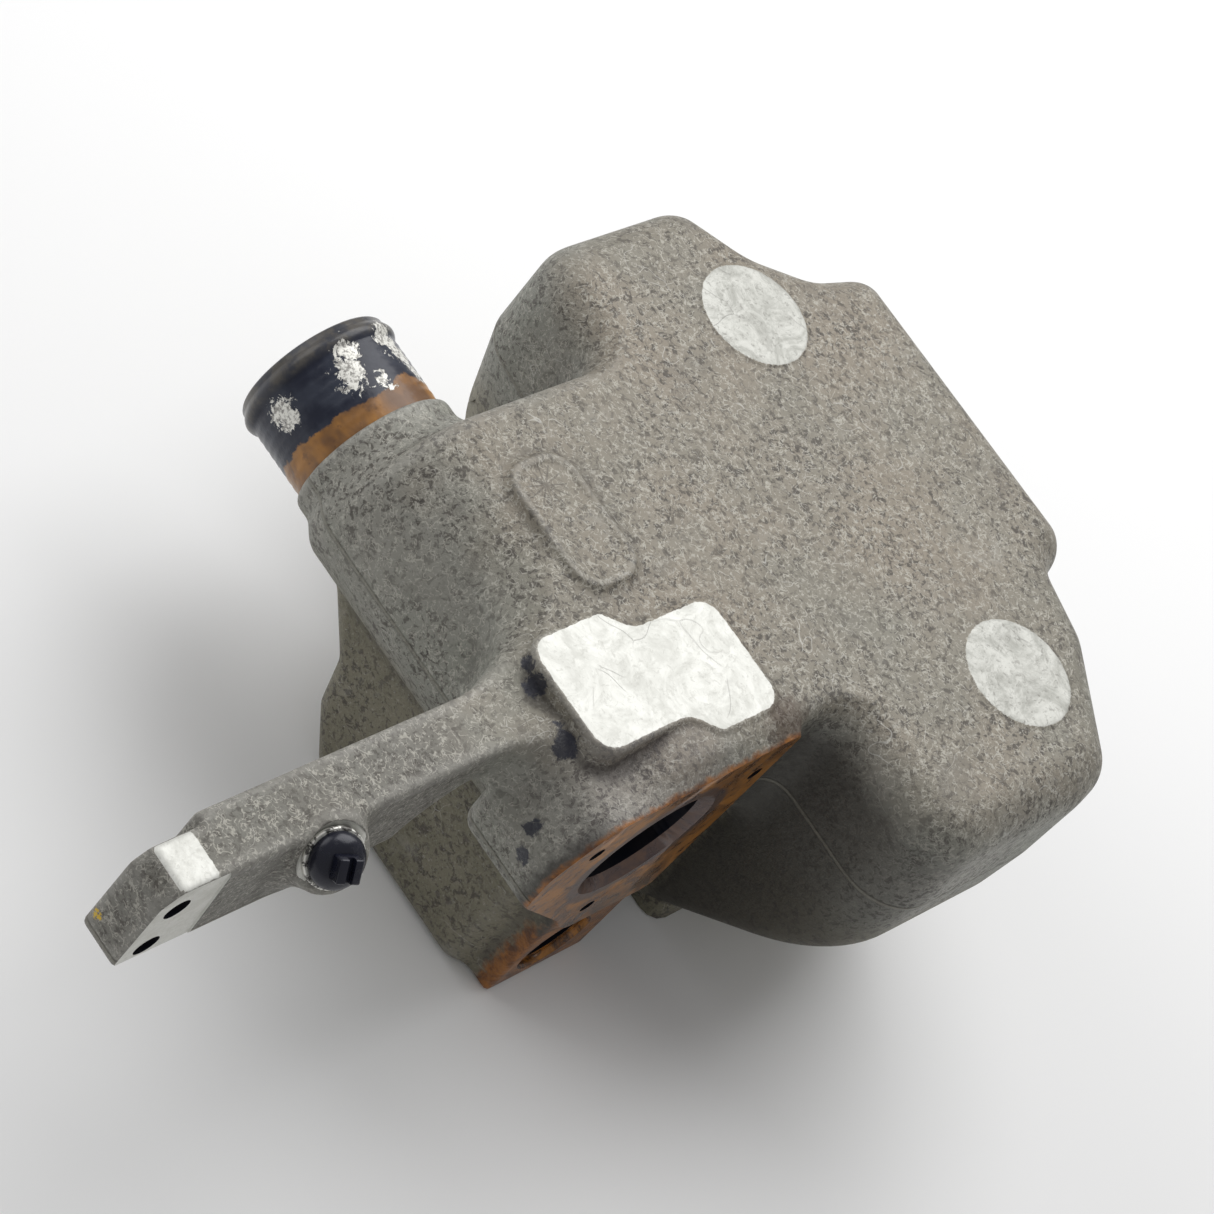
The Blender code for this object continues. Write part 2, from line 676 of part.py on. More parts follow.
def port_cuts(body):
    """The passages from the pipe and the lower port to the chamber, and the gallery in the arm."""
    suction = (SUCTION_X, PIPE_Y, PIPE_Z)
    cut(body, rod("suction_port", SUCTION_R, suction, (SUCTION_X, -60 * MM, PIPE_Z), 24))
    y = (LEG_FRONT_Y + LEG_BACK_Y) / 2
    face = FLANGE_X - LEG_FACE_SETBACK
    deep = face - LOWER_PORT_DEPTH
    past = face + OVERLAP
    rim_x = face - LOWER_PORT_RIM
    rim_r = LOWER_PORT_R + LOWER_PORT_RIM
    cut(body, rod("lower_port", LOWER_PORT_R, (deep, y, LOWER_PORT_Z), (past, y, LOWER_PORT_Z), 28))
    cut(body, rod("lower_port_recess", rim_r, (rim_x, y, LOWER_PORT_Z), (past, y, LOWER_PORT_Z), 28))
    riser_x = deep + LOWER_PORT_R
    riser_r = LOWER_PORT_R - 2 * MM
    cut(body, rod("riser", riser_r, (riser_x, y, LOWER_PORT_Z), (riser_x, y, PIPE_Z), 24))
    middle, direction, reach = plug_axis()
    inner_end = (GALLERY_X, 2 * MM - PISTON_PCD_R, GALLERY_Z)
    cut(body, rod("gallery", GALLERY_R, inner_end, (GALLERY_X, PLUG_Y, GALLERY_Z), 10))
    end = middle + direction * (reach + OVERLAP)
    cut(body, rod("plug_hole", PLUG_HOLE_R, middle + direction * 6 * MM, end, 24))
    for i in range(2):
        z = ARM_TOP_Z - ARM_HOLE_DROP - i * ARM_HOLE_SPACING
        y = ARM_END_Y + ARM_HOLE_INSET
        end = (ARM_RIGHT_X + OVERLAP, y, z)
        cut(body, rod(f"arm_hole_{i + 1}", ARM_HOLE_R, (ARM_LEFT_X, y, z), end, 24))
    return body


def inner_cuts(body):
    """The kidneys and pockets in the head, the control bores and the holes in the rim."""
    below = HEAD_Z - OVERLAP
    cut(body, kidney("pressure_kidney", -90, below, GALLERY_Z))
    cut(body, kidney("suction_kidney", 90, below, GALLERY_Z))
    window_high = (SUCTION_WINDOW / 2, HEAD_R + OVERLAP, GALLERY_Z - 1 * MM)
    cut(body, box("suction_window", (-SUCTION_WINDOW / 2, PISTON_PCD_R, below), window_high))
    cut(body, rod("rear_bearing_pocket", NEEDLE_SHELL_R + FIT, (0, 0, below), (0, 0, TOP_Z - ROOF), 32))
    roof = TOP_Z - ROOF - 2 * MM
    for name, radius, x, drop in (
        ("control_bore", CONTROL_R + FIT, -CONTROL_X, CONTROL_SLEEVE_DROP),
        ("bias_bore", BIAS_SPRING_R + 3 * MM, CONTROL_X, BIAS_POCKET_DROP),
    ):
        cut(body, rod(name, radius, (x, 0, HEAD_Z - drop - OVERLAP), (x, 0, roof), 24))
    tapped_top = RIM_Z + SCREW_LENGTH - 3 * MM
    for i, place in enumerate(SCREW_PLACES):
        low = place_mm(place, 0)
        cut(body, rod(f"tapped_hole_{i + 1}", SCREW_R + FIT, low, place_mm(place, tapped_top), 10))
    for i, place in enumerate(DOWEL_PLACES):
        low = place_mm(place, 0)
        high = place_mm(place, RIM_Z + DOWEL_LENGTH)
        cut(body, rod(f"dowel_hole_{i + 1}", DOWEL_R + FIT, low, high, 10))
    return body


def housing():
    return finished(inner_cuts(port_cuts(pipe_cuts(inside(outside())))), CAST)


def hose_neck():
    """The beaded tube pressed into the collar, turned about X."""
    inner = NECK_R - NECK_WALL
    seat = NECK_LENGTH + NECK_SEAT - 1 * MM
    bead_middle = BEAD_WIDTH
    bead = [(NECK_R, 0.0), (NECK_R, bead_middle - BEAD_WIDTH / 2)]
    for degrees in (45, 90, 135):
        along = bead_middle - BEAD_WIDTH / 2 * math.cos(math.radians(degrees))
        bead.append((NECK_R + BEAD_RISE * math.sin(math.radians(degrees)), along))
    bead.append((NECK_R, bead_middle + BEAD_WIDTH / 2))
    outer = [(radius, -along) for radius, along in bead]
    profile = [(inner, 0.0)] + outer + [(NECK_R, -seat), (inner, -seat)]
    neck = turned("hose_neck", profile, 40, closed=True)
    neck.location = (NECK_END_X, PIPE_Y, PIPE_Z)
    neck.rotation_euler = (0, -math.pi / 2, 0)
    return finished(neck, BLUE_BLACK)


def port_plug():
    """The screwed plug with its domed collar and slotted square head, on the boss."""
    middle, direction, reach = plug_axis()
    washer_t = 1.5 * MM
    base = middle + direction * (reach + FIT)
    turn = direction.to_track_quat("Z", "Y").to_euler()
    washer = ring("port_plug_washer", PLUG_HOLE_R + FIT, PLUG_COLLAR_R + 1 * MM, 0, washer_t, 28)
    washer.location = base
    washer.rotation_euler = turn
    finished(washer, STEEL)
    top = 6 * MM
    profile = [(0, top), (6.5 * MM, top), (8.6 * MM, top - 1.2 * MM), (PLUG_COLLAR_R, 2.5 * MM)]
    thread_r = PLUG_HOLE_R - FIT
    profile += [(PLUG_COLLAR_R, 0), (thread_r, 0), (thread_r, -12 * MM), (0, -12 * MM)]
    plug = turned("port_plug", profile, 28)
    plug.location = base + direction * (washer_t + FIT)
    plug.rotation_euler = turn
    square = box("plug_square", (-4.5 * MM, -4.5 * MM, top - 3 * MM), (4.5 * MM, 4.5 * MM, top + 5 * MM))
    slot = box("plug_slot", (-1.2 * MM, -8 * MM, top + 2 * MM), (1.2 * MM, 8 * MM, top + 8 * MM))
    for shape in (square, slot):
        shape.parent = plug
    join(plug, square)
    cut(plug, slot)
    return finished(plug, RUBBER)


# ---- Mounting cover and fasteners ----


def mounting_cover():
    outline = rounded(in_metres(COVER_CORNERS))
    cover = plate("mounting_cover", outline, 0, COVER_T)
    boss_top = BEARING_BASE_Z + BEARING_WIDTH + 0.7 * MM
    join(cover, rod("bearing_boss", BEARING_R + 4 * MM, (0, 0, COVER_T - 2 * MM), (0, 0, boss_top), 32))
    for name, side in (("saddle_left", -1), ("saddle_right", 1)):
        near = side * CRADLE_INNER_Y
        far = side * (CRADLE_INNER_Y + CRADLE_WIDTH + 1 * MM)
        low = (-CRADLE_R - 2 * MM, min(near, far), COVER_T - 2 * MM)
        high = (CRADLE_R + 2 * MM, max(near, far), SWASH_Z - SWASH_T - 3 * MM)
        join(cover, box(name, low, high))
    span = CRADLE_INNER_Y + CRADLE_WIDTH + 5 * MM
    outer = CRADLE_R + CRADLE_SHELL_T + 2 * FIT
    cut(cover, rod("cradle_space", outer, (0, -span, SWASH_Z), (0, span, SWASH_Z), 32))
    cut(cover, rod("pilot_recess", PILOT_R, (0, 0, -5 * MM), (0, 0, PILOT_DEPTH), 32))
    cut(cover, rod("seal_bore", SEAL_R + FIT, (0, 0, 0), (0, 0, COVER_T - 2 * MM), 32))
    cut(cover, rod("bearing_bore", BEARING_R + FIT, (0, 0, BEARING_BASE_Z), (0, 0, SWASH_Z), 32))
    for i, place in enumerate(SCREW_PLACES):
        low = place_mm(place, -OVERLAP)
        cut(cover, rod(f"screw_hole_{i + 1}", SCREW_R + FIT, low, place_mm(place, 2 * COVER_T), 10))
        head_top = SCREW_HEAD_H + 1 * MM
        cut(cover, rod(f"counterbore_{i + 1}", SCREW_HEAD_R + FIT, low, place_mm(place, head_top), 12))
    for i, place in enumerate(DOWEL_PLACES):
        low = place_mm(place, COVER_T / 2)
        cut(cover, rod(f"cover_dowel_hole_{i + 1}", DOWEL_R + FIT, low, place_mm(place, 2 * COVER_T), 10))
    return finished(cover, CAST)


def cover_gasket():
    outline = rounded(in_metres(COVER_CORNERS))
    low = COVER_T + FIT
    gasket = plate("cover_gasket", outline, low, low + GASKET_T)
    band = GASKET_BAND / MM
    inner = [(x - math.copysign(band, x), y - math.copysign(band, y), 3) for x, y, radius in COVER_CORNERS]
    opening = plate("gasket_opening", rounded(in_metres(inner)), 0, 2 * COVER_T)
    cut(gasket, opening)
    for kind, places, radius in (("screw", SCREW_PLACES, SCREW_R), ("dowel", DOWEL_PLACES, DOWEL_R)):
        for i, place in enumerate(places):
            name = f"gasket_{kind}_hole_{i + 1}"
            cut(gasket, rod(name, radius + FIT, place_mm(place, 0), place_mm(place, 2 * COVER_T), 10))
    return finished(gasket, FIBRE)


def cover_screws():
    """Socket-head screws, heads down in their counterbores."""
    for i, place in enumerate(SCREW_PLACES):
        head_low = 1 * MM - FIT
        seat = head_low + SCREW_HEAD_H
        tip = seat + SCREW_LENGTH
        profile = [(0, tip), (SCREW_R - 0.8 * MM, tip), (SCREW_R, tip - 0.8 * MM), (SCREW_R, seat)]
        profile += [(SCREW_HEAD_R, seat), (SCREW_HEAD_R, head_low), (0, head_low)]
        screw = turned(f"cover_screw_{i + 1}", profile, 14)
        screw.location = place_mm(place, 0)
        socket = rod(f"screw_socket_{i + 1}", 3.4 * MM, (0, 0, -5 * MM), (0, 0, head_low + 4 * MM), 6)
        socket.parent = screw
        cut(screw, socket)
        finished(screw, STEEL)


def dowel_pins():
    low = COVER_T / 2 + FIT
    high = low + DOWEL_LENGTH
    for i, place in enumerate(DOWEL_PLACES):
        pin = rod(f"dowel_pin_{i + 1}", DOWEL_R, place_mm(place, low), place_mm(place, high), 16)
        finished(pin, GROUND_STEEL)


# ---- Shaft and bearings ----


def drive_shaft():
    low = PILOT_DEPTH + 0.4 * MM
    step = BEARING_BASE_Z + BEARING_WIDTH + 5 * MM
    high = TOP_Z - ROOF - 2 * MM
    profile = [(0, high), (SHAFT_R - 1 * MM, high), (SHAFT_R, high - 1 * MM), (SHAFT_R, step + 1 * MM)]
    profile += [(SHAFT_FRONT_R, step), (SHAFT_FRONT_R, low), (0, low)]
    shaft = turned("drive_shaft", profile, 24)
    socket = rod("drive_socket", 7.5 * MM, (0, 0, 0), (0, 0, low + 28 * MM), 12)
    cut(shaft, socket)
    return finished(shaft, GROUND_STEEL)


def roller_cage(name, radius, middle, count, low, high, web):
    """A cage's rings with its rollers, as one piece."""
    cage = ring(name, middle - web, middle + web, low, high, 20)
    for i in range(count):
        angle = 2 * math.pi * i / count
        x = middle * math.cos(angle)
        y = middle * math.sin(angle)
        roller = rod(f"{name}_roller_{i + 1}", radius, (x, y, low + 0.6 * MM), (x, y, high - 0.6 * MM), 6)
        join(cage, roller)
    return finished(cage, GROUND_STEEL)


def front_bearing():
    low = BEARING_BASE_Z + FIT
    high = BEARING_BASE_Z + BEARING_WIDTH
    inner_r = SHAFT_FRONT_R + 4 * MM
    outer_in = inner_r + 2 * ROLLER_R + 0.6 * MM
    finished(ring("front_bearing_inner_race", SHAFT_FRONT_R + FIT, inner_r, low, high), GROUND_STEEL)
    finished(ring("front_bearing_outer_race", outer_in, BEARING_R, low, high), GROUND_STEEL)
    roller_cage("front_bearing_rollers", ROLLER_R, (inner_r + outer_in) / 2, ROLLERS, low, high, 0.8 * MM)


def rear_bearing():
    low = HEAD_Z + 1 * MM
    high = TOP_Z - ROOF - 1 * MM
    shell_in = NEEDLE_SHELL_R - NEEDLE_SHELL_WALL
    finished(ring("rear_bearing_shell", shell_in, NEEDLE_SHELL_R, low, high), STEEL)
    middle = (SHAFT_R + shell_in) / 2
    roller_cage("rear_bearing_needles", NEEDLE_R, middle, NEEDLES, low, high, 0.5 * MM)


def shaft_seal():
    low = PILOT_DEPTH + 1.2 * MM
    profile = [
        (SEAL_R, low + SEAL_T),
        (SEAL_R, low),
        (SHAFT_FRONT_R + 2 * MM, low),
        (SHAFT_FRONT_R + FIT, low + 1 * MM),
        (SHAFT_FRONT_R + FIT, low + 2 * MM),
        (SHAFT_FRONT_R + 3 * MM, low + 2.6 * MM),
        (SEAL_R - 2 * MM, low + 2.6 * MM),
        (SEAL_R - 2 * MM, low + SEAL_T),
    ]
    finished(turned("shaft_seal", profile, 20, closed=True), RUBBER)


def retaining_ring(name, inner, outer, low, thickness):
    """An open ring with a gap for the pliers."""
    clip = ring(name, inner, outer, low, low + thickness, 20)
    gap = box(name + "_gap", (0, -2.5 * MM, low - 1 * MM), (2 * outer, 2.5 * MM, low + 2 * thickness))
    cut(clip, gap)
    return finished(clip, DARK_STEEL)


# ---- Rotating group ----


def piston_angles():
    return [2 * math.pi * i / PISTONS for i in range(PISTONS)]


def cylinder_block():
    chamber_r = SPRING_R + SPRING_WIRE + 1 * MM
    chamber_top = BLOCK_TOP_Z - 14 * MM
    profile = [
        (SHAFT_R + FIT, BLOCK_TOP_Z),
        (BLOCK_R - 3 * MM, BLOCK_TOP_Z),
        (BLOCK_R - 3 * MM, BLOCK_TOP_Z - 2 * MM),
        (BLOCK_R, BLOCK_TOP_Z - 5 * MM),
        (BLOCK_R, BLOCK_BASE_Z + 1 * MM),
        (BLOCK_R - 1 * MM, BLOCK_BASE_Z),
        (chamber_r, BLOCK_BASE_Z),
        (chamber_r, chamber_top),
        (SHAFT_R + FIT, chamber_top),
    ]
    block = turned("cylinder_block", profile, 24, closed=True)
    for i, angle in enumerate(piston_angles()):
        x = PISTON_PCD_R * math.cos(angle)
        y = PISTON_PCD_R * math.sin(angle)
        low = (x, y, BLOCK_BASE_Z - OVERLAP)
        bore_top = (x, y, BLOCK_TOP_Z - 8 * MM)
        port_low = (x, y, BLOCK_TOP_Z - 12 * MM)
        cut(block, rod(f"cylinder_bore_{i + 1}", PISTON_R + FIT, low, bore_top, 12))
        cut(block, rod(f"cylinder_port_{i + 1}", 3.5 * MM, port_low, (x, y, BLOCK_TOP_Z + OVERLAP), 6))
    return finished(block, STEEL)


def pistons():
    neck_r = BALL_R - 1.6 * MM
    neck_angle = math.degrees(math.acos(neck_r / BALL_R))
    skirt = BALL_Z + BALL_R + 6 * MM
    crown = BLOCK_TOP_Z - PISTON_CROWN_DROP
    profile = [(0, crown), (PISTON_R - 0.6 * MM, crown), (PISTON_R, crown - 0.6 * MM), (PISTON_R, skirt)]
    profile += [(neck_r, skirt - 3 * MM)]
    profile += arc((0, BALL_Z), BALL_R, neck_angle, -90, 4)
    profile[-1] = (0, BALL_Z - BALL_R)
    socket_r = BALL_R + FIT
    mouth_r = neck_r + 0.7 * MM
    mouth_angle = math.degrees(math.acos(mouth_r / socket_r))
    mouth_z = BALL_Z + socket_r * math.sin(math.radians(mouth_angle))
    collar_r = SLIPPER_R - 1.8 * MM
    socket = arc((0, BALL_Z), socket_r, -90, mouth_angle, 4)
    socket[0] = (0, BALL_Z - socket_r)
    slipper = socket + [(collar_r, mouth_z), (collar_r, SLIPPER_Z + SLIPPER_FOOT)]
    slipper += [(SLIPPER_R, SLIPPER_Z + SLIPPER_FOOT), (SLIPPER_R, SLIPPER_Z), (0, SLIPPER_Z)]
    for i, angle in enumerate(piston_angles()):
        spot = (PISTON_PCD_R * math.cos(angle), PISTON_PCD_R * math.sin(angle), 0)
        for name, shape, look in (("piston", profile, GROUND_STEEL), ("slipper", slipper, BRONZE)):
            piece = turned(f"{name}_{i + 1}", shape, 10)
            piece.location = spot
            finished(piece, look)


def retainer():
    low = SLIPPER_Z + SLIPPER_FOOT + FIT
    hub_in = SHAFT_R + 4.5 * MM
    disc = ring("retainer_plate", hub_in, BLOCK_R, low, low + 2.5 * MM, 24)
    for i, angle in enumerate(piston_angles()):
        x = PISTON_PCD_R * math.cos(angle)
        y = PISTON_PCD_R * math.sin(angle)
        cut(disc, rod(f"retainer_hole_{i + 1}", SLIPPER_R - 1.2 * MM, (x, y, 0), (x, y, TOP_Z), 10))
    finished(disc, STEEL)
    guide_in = SHAFT_R + FIT
    guide_out = hub_in - FIT
    top = BLOCK_BASE_Z + 1 * MM
    rim = guide_out + 1 * MM
    profile = [(guide_in, top), (rim, top), (rim, low + 6 * MM), (guide_out, low + 3.2 * MM)]
    profile += [(guide_out - 1 * MM, low - 1 * MM), (guide_in, low - 1 * MM)]
    finished(turned("ball_guide", profile, 20, closed=True), STEEL)


def helix(name, radius, wire, low, high, turns, look):
    """A coil spring about Z with its wire's middle from low to high."""
    steps = 10
    curve = bpy.data.curves.new(name, "CURVE")
    curve.dimensions = "3D"
    curve.bevel_depth = wire
    curve.bevel_resolution = 1
    curve.use_fill_caps = True
    spline = curve.splines.new("POLY")
    count = steps * turns + 1
    spline.points.add(count - 1)
    for i, knot in enumerate(spline.points):
        angle = 2 * math.pi * i / steps
        height = low + (high - low) * i / (count - 1)
        knot.co = (radius * math.cos(angle), radius * math.sin(angle), height, 1)
    outline = bpy.data.objects.new(name + "_path", curve)
    bpy.context.scene.collection.objects.link(outline)
    return finished(solid_from_curve(name, outline), look)


def block_spring():
    inner = SHAFT_R + FIT
    outer = SPRING_R + SPRING_WIRE + 0.6 * MM
    low = BLOCK_BASE_Z + 1 * MM + FIT
    seat_t = 2 * MM
    top = BLOCK_TOP_Z - 14 * MM - FIT
    finished(ring("spring_seat_lower", inner, outer, low, low + seat_t), STEEL)
    finished(ring("spring_seat_upper", inner, outer, top - seat_t, top), STEEL)
    start = low + seat_t + SPRING_WIRE + 2 * FIT
    end = top - seat_t - SPRING_WIRE - 2 * FIT
    helix("block_spring", SPRING_R, SPRING_WIRE, start, end, SPRING_TURNS, STEEL)


def valve_plate():
    top = VALVE_PLATE_Z + VALVE_PLATE_T
    disc = ring("valve_plate", NEEDLE_SHELL_R + 0.5 * MM, BLOCK_R + 2 * MM, VALVE_PLATE_Z, top, 24)
    for name, degrees in (("plate_kidney_pressure", -90), ("plate_kidney_suction", 90)):
        cut(disc, kidney(name, degrees, VALVE_PLATE_Z - 2 * MM, top + 2 * MM))
    pin_x = BLOCK_R - 3 * MM
    pin_low = VALVE_PLATE_Z + 1 * MM
    pin_high = HEAD_Z + 6 * MM
    cut(disc, rod("plate_pin_hole", 2 * MM + FIT, (pin_x, 0, pin_low - FIT), (pin_x, 0, top + 5 * MM), 10))
    finished(disc, BRONZE)
    finished(rod("valve_plate_pin", 2 * MM, (pin_x, 0, pin_low), (pin_x, 0, pin_high), 12), STEEL)
    return rod("head_pin_hole", 2 * MM + FIT, (pin_x, 0, HEAD_Z - 5 * MM), (pin_x, 0, pin_high + FIT), 12)


# ---- Swashplate and control ----


def swashplate():
    low = SWASH_Z - SWASH_T
    swash = rod("swashplate", SWASH_R, (0, 0, low), (0, 0, SWASH_Z), 48)
    half = SWASH_ARM_WIDTH / 2
    arm_low = (-SWASH_ARM_REACH, -half, low + 1 * MM)
    join(swash, box("swash_arms", arm_low, (SWASH_ARM_REACH, half, SWASH_Z - 1 * MM)))
    for name, side in (("runner_left", -1), ("runner_right", 1)):
        near = side * (CRADLE_INNER_Y + 1 * MM)
        far = side * (CRADLE_INNER_Y + CRADLE_WIDTH - 1 * MM)
        runner = rod(name, CRADLE_R, (0, near, SWASH_Z), (0, far, SWASH_Z), 48)
        trim = box(name + "_trim", (-SWASH_R, -SWASH_R, low + 2 * MM), (SWASH_R, SWASH_R, 2 * SWASH_Z))
        cut(runner, trim)
        join(swash, runner)
    cut(swash, rod("swash_hole", SHAFT_R + 5 * MM, (0, 0, 0), (0, 0, TOP_Z), 32))
    return finished(swash, STEEL)


def cradle_bearings():
    inner = CRADLE_R + FIT
    outer = inner + CRADLE_SHELL_T
    half = 48
    for name, side in (("cradle_bearing_left", -1), ("cradle_bearing_right", 1)):
        outline = arc((0, SWASH_Z), outer, -90 - half, -90 + half, 16)
        outline += arc((0, SWASH_Z), inner, -90 + half, -90 - half, 16)
        near = side * (CRADLE_INNER_Y + 0.5 * MM)
        far = side * (CRADLE_INNER_Y + CRADLE_WIDTH)
        shell = plate(name, outline, min(near, far), max(near, far), "Y")
        finished(shell, BRONZE)


def control():
    foot = SWASH_Z + 0.7 * MM
    crown = HEAD_Z - 6 * MM
    tip = foot + 6 * MM
    profile = [(0, crown), (CONTROL_R, crown), (CONTROL_R, tip), (CONTROL_R - 4 * MM, foot), (0, foot)]
    piston = turned("control_piston", profile, 24)
    piston.location = (-CONTROL_X, 0, 0)
    finished(piston, GROUND_STEEL)
    seat_top = foot + 5 * MM
    seat_r = BIAS_SPRING_R + BIAS_SPRING_WIRE
    spigot = seat_top + 6 * MM
    spigot_r = CONTROL_R / 2
    profile = [(0, spigot), (spigot_r, spigot), (spigot_r, seat_top), (seat_r, seat_top)]
    profile += [(seat_r, foot), (0, foot)]
    seat = turned("bias_spring_seat", profile, 24)
    seat.location = (CONTROL_X, 0, 0)
    finished(seat, STEEL)
    start = seat_top + BIAS_SPRING_WIRE + 2 * FIT
    end = TOP_Z - ROOF - 2 * MM - BIAS_SPRING_WIRE - 2 * FIT
    spring = helix("bias_spring", BIAS_SPRING_R, BIAS_SPRING_WIRE, start, end, 5, STEEL)
    spring.location = (CONTROL_X, 0, 0)


def build():
    body = housing()
    cut(body, valve_plate())
    hose_neck()
    port_plug()
    mounting_cover()
    cover_gasket()
    cover_screws()
    dowel_pins()
    drive_shaft()
    front_bearing()
    rear_bearing()
    shaft_seal()
    clip = SHAFT_FRONT_R + 3 * MM
    retaining_ring("seal_retaining_ring", clip, SEAL_R - FIT, PILOT_DEPTH + FIT, 0.6 * MM)
    ring_low = BEARING_BASE_Z + BEARING_WIDTH + FIT
    retaining_ring("shaft_retaining_ring", SHAFT_FRONT_R + FIT, clip, ring_low, 1.2 * MM)
    cylinder_block()
    pistons()
    retainer()
    block_spring()
    swashplate()
    cradle_bearings()
    control()
    bpy.context.view_layer.update()


build()
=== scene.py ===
"""Looks of the axial piston pump: a cast housing, its neck, plug and washer, with worn materials.

The casting is modelled as a signed distance field on a grid, in millimetres, so that its walls run into
each other with cast fillets. The machined faces and holes are then cut into its mesh.
"""

import math

import json

import bmesh
import bpy
import numpy as np
import openvdb
from mathutils import Matrix, Vector


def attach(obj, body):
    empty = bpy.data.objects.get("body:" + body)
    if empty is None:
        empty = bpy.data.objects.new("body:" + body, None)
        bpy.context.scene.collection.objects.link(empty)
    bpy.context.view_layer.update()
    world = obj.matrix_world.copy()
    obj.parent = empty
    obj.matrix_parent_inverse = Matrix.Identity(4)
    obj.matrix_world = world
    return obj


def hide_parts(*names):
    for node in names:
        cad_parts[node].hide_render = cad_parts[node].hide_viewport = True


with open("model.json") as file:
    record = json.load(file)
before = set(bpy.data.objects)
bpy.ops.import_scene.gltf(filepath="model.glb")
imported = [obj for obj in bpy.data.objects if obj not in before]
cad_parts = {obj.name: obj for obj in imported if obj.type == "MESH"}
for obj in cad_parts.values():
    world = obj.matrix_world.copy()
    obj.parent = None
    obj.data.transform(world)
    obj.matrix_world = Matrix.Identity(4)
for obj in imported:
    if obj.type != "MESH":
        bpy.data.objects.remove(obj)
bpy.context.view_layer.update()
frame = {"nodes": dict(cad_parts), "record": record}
NODES = frame["nodes"]
MM = 0.001

# ---- Grid: cell size and corners in millimetres ----
VOXEL = 1.0
LOW = np.array((-150.0, -380.0, -6.0))
HIGH = np.array((146.0, 90.0, 170.0))

# ---- Casting: dimensions in millimetres ----
TOP = 157.0
AXIS = 107.0
RIM = 13.4
ROUNDOVER = 18.0
PIPE_Y = -155.0
FLANGE_X = 68.0
FLANGE_HOLE_CIRCLE = 46
FLANGE_HOLE_DEGREES = (33, 153, 273)
LOWER_PORT_Y = -141.5
LOWER_PORT_Z = 22.6
LOBE_X = 83.8
PORT_PAD_TOP = 158.2
ARM_HOLE_Y = -359
ARM_HOLE_HEIGHTS = (134.5, 111.0)
MILL_X = 25.9
PLUG_FOOT = (15.2, -293.1, 124.8)
PLUG_FACE = (33.03, -301.0, 140.1)
PLUG_REACH = 24.8
WALL_CORNERS = [
    (-87, 78, 14), (-94, 48, 30), (-112, 26, 34), (-141, 9, 16), (-141, -72, 24), (-84, -78, 20),
    (133, -84, 24), (135, 0, 40), (131, 19, 18), (84, 51, 25), (54, 59, 10), (47, 78, 14),
]
RIM_CORNERS = [
    (-84, 74, 12), (-91, 45, 25), (-109, 20, 30), (-133, 4, 14), (-126, -45, 24), (-84, -73, 20),
    (126, -79, 24), (128, 0, 40), (124, 15, 15), (80, 47, 25), (50, 56, 9), (43, 74, 12),
]
FLANGE_CORNERS = [
    (-106, 154, 4), (-200, 146, 14), (-217, 124, 12), (-215, 103, 12), (-152, 45, 8), (-106, 45, 4),
]
LEG_CORNERS = [
    (54.5, 107, 2), (54.5, 0, 9), (-38, 0, 16), (-55, 24, 9), (-60, 46, 10), (-85, 74, 10), (-85, 107, 2),
]
PAD_CORNERS = [
    (9, -110, 9), (56, -110, 9), (56, -143, 5), (46, -152, 10), (46, -195, 9), (-1, -195, 9),
    (-1, -159, 5), (9, -149, 10),
]
TAG_CORNERS = [(-62, -158, 11), (-8, -158, 11), (-8, -128, 11), (-62, -128, 11)]


def rounded(corners, steps=10):
    """Points round a closed outline whose corners (x, y, radius) are arcs."""
    points = []
    for i, (x, y, radius) in enumerate(corners):
        corner = Vector((x, y))
        back = (Vector(corners[i - 1][:2]) - corner).normalized()
        ahead = (Vector(corners[(i + 1) % len(corners)][:2]) - corner).normalized()
        half = back.angle(ahead) / 2
        middle = (back + ahead).normalized()
        centre = corner + middle * (radius / math.sin(half))
        turn = 1 if back.cross(ahead) < 0 else -1
        outward = math.atan2(-middle.y, -middle.x)
        for step in range(steps + 1):
            angle = outward + turn * ((half - math.pi / 2) + (math.pi - 2 * half) * step / steps)
            points.append((centre.x + radius * math.cos(angle), centre.y + radius * math.sin(angle)))
    return np.array(points)


def outline_distance(points, a, b):
    """Signed distance in a plane to a closed outline, negative inside."""
    best = np.full(np.broadcast(a, b).shape, 1e9)
    inside = np.zeros(best.shape, bool)
    for (ax, ay), (bx, by) in zip(points, np.roll(points, -1, 0)):
        ex, ey = bx - ax, by - ay
        along = np.clip(((a - ax) * ex + (b - ay) * ey) / (ex * ex + ey * ey + 1e-12), 0, 1)
        best = np.minimum(best, (a - ax - along * ex) ** 2 + (b - ay - along * ey) ** 2)
        if ay != by:
            crosses = ((ay > b) != (by > b)) & (a < ex * (b - ay) / ey + ax)
            inside ^= crosses
    return np.where(inside, -1, 1) * np.sqrt(best)


def joined(a, b, fillet):
    """Smooth union with a fillet about this wide."""
    share = np.maximum(fillet - np.abs(a - b), 0) / fillet
    return np.minimum(a, b) - share * share * fillet * 0.25


def common(a, b, fillet):
    return -joined(-a, -b, fillet)


def rounded_common(a, b, radius):
    """Intersection whose edge is a true arc of this radius."""
    p = a + radius
    q = b + radius
    return np.minimum(np.maximum(p, q), 0) + np.hypot(np.maximum(p, 0), np.maximum(q, 0)) - radius


def slab(axis, low, high):
    return np.abs(axis - (low + high) / 2) - (high - low) / 2


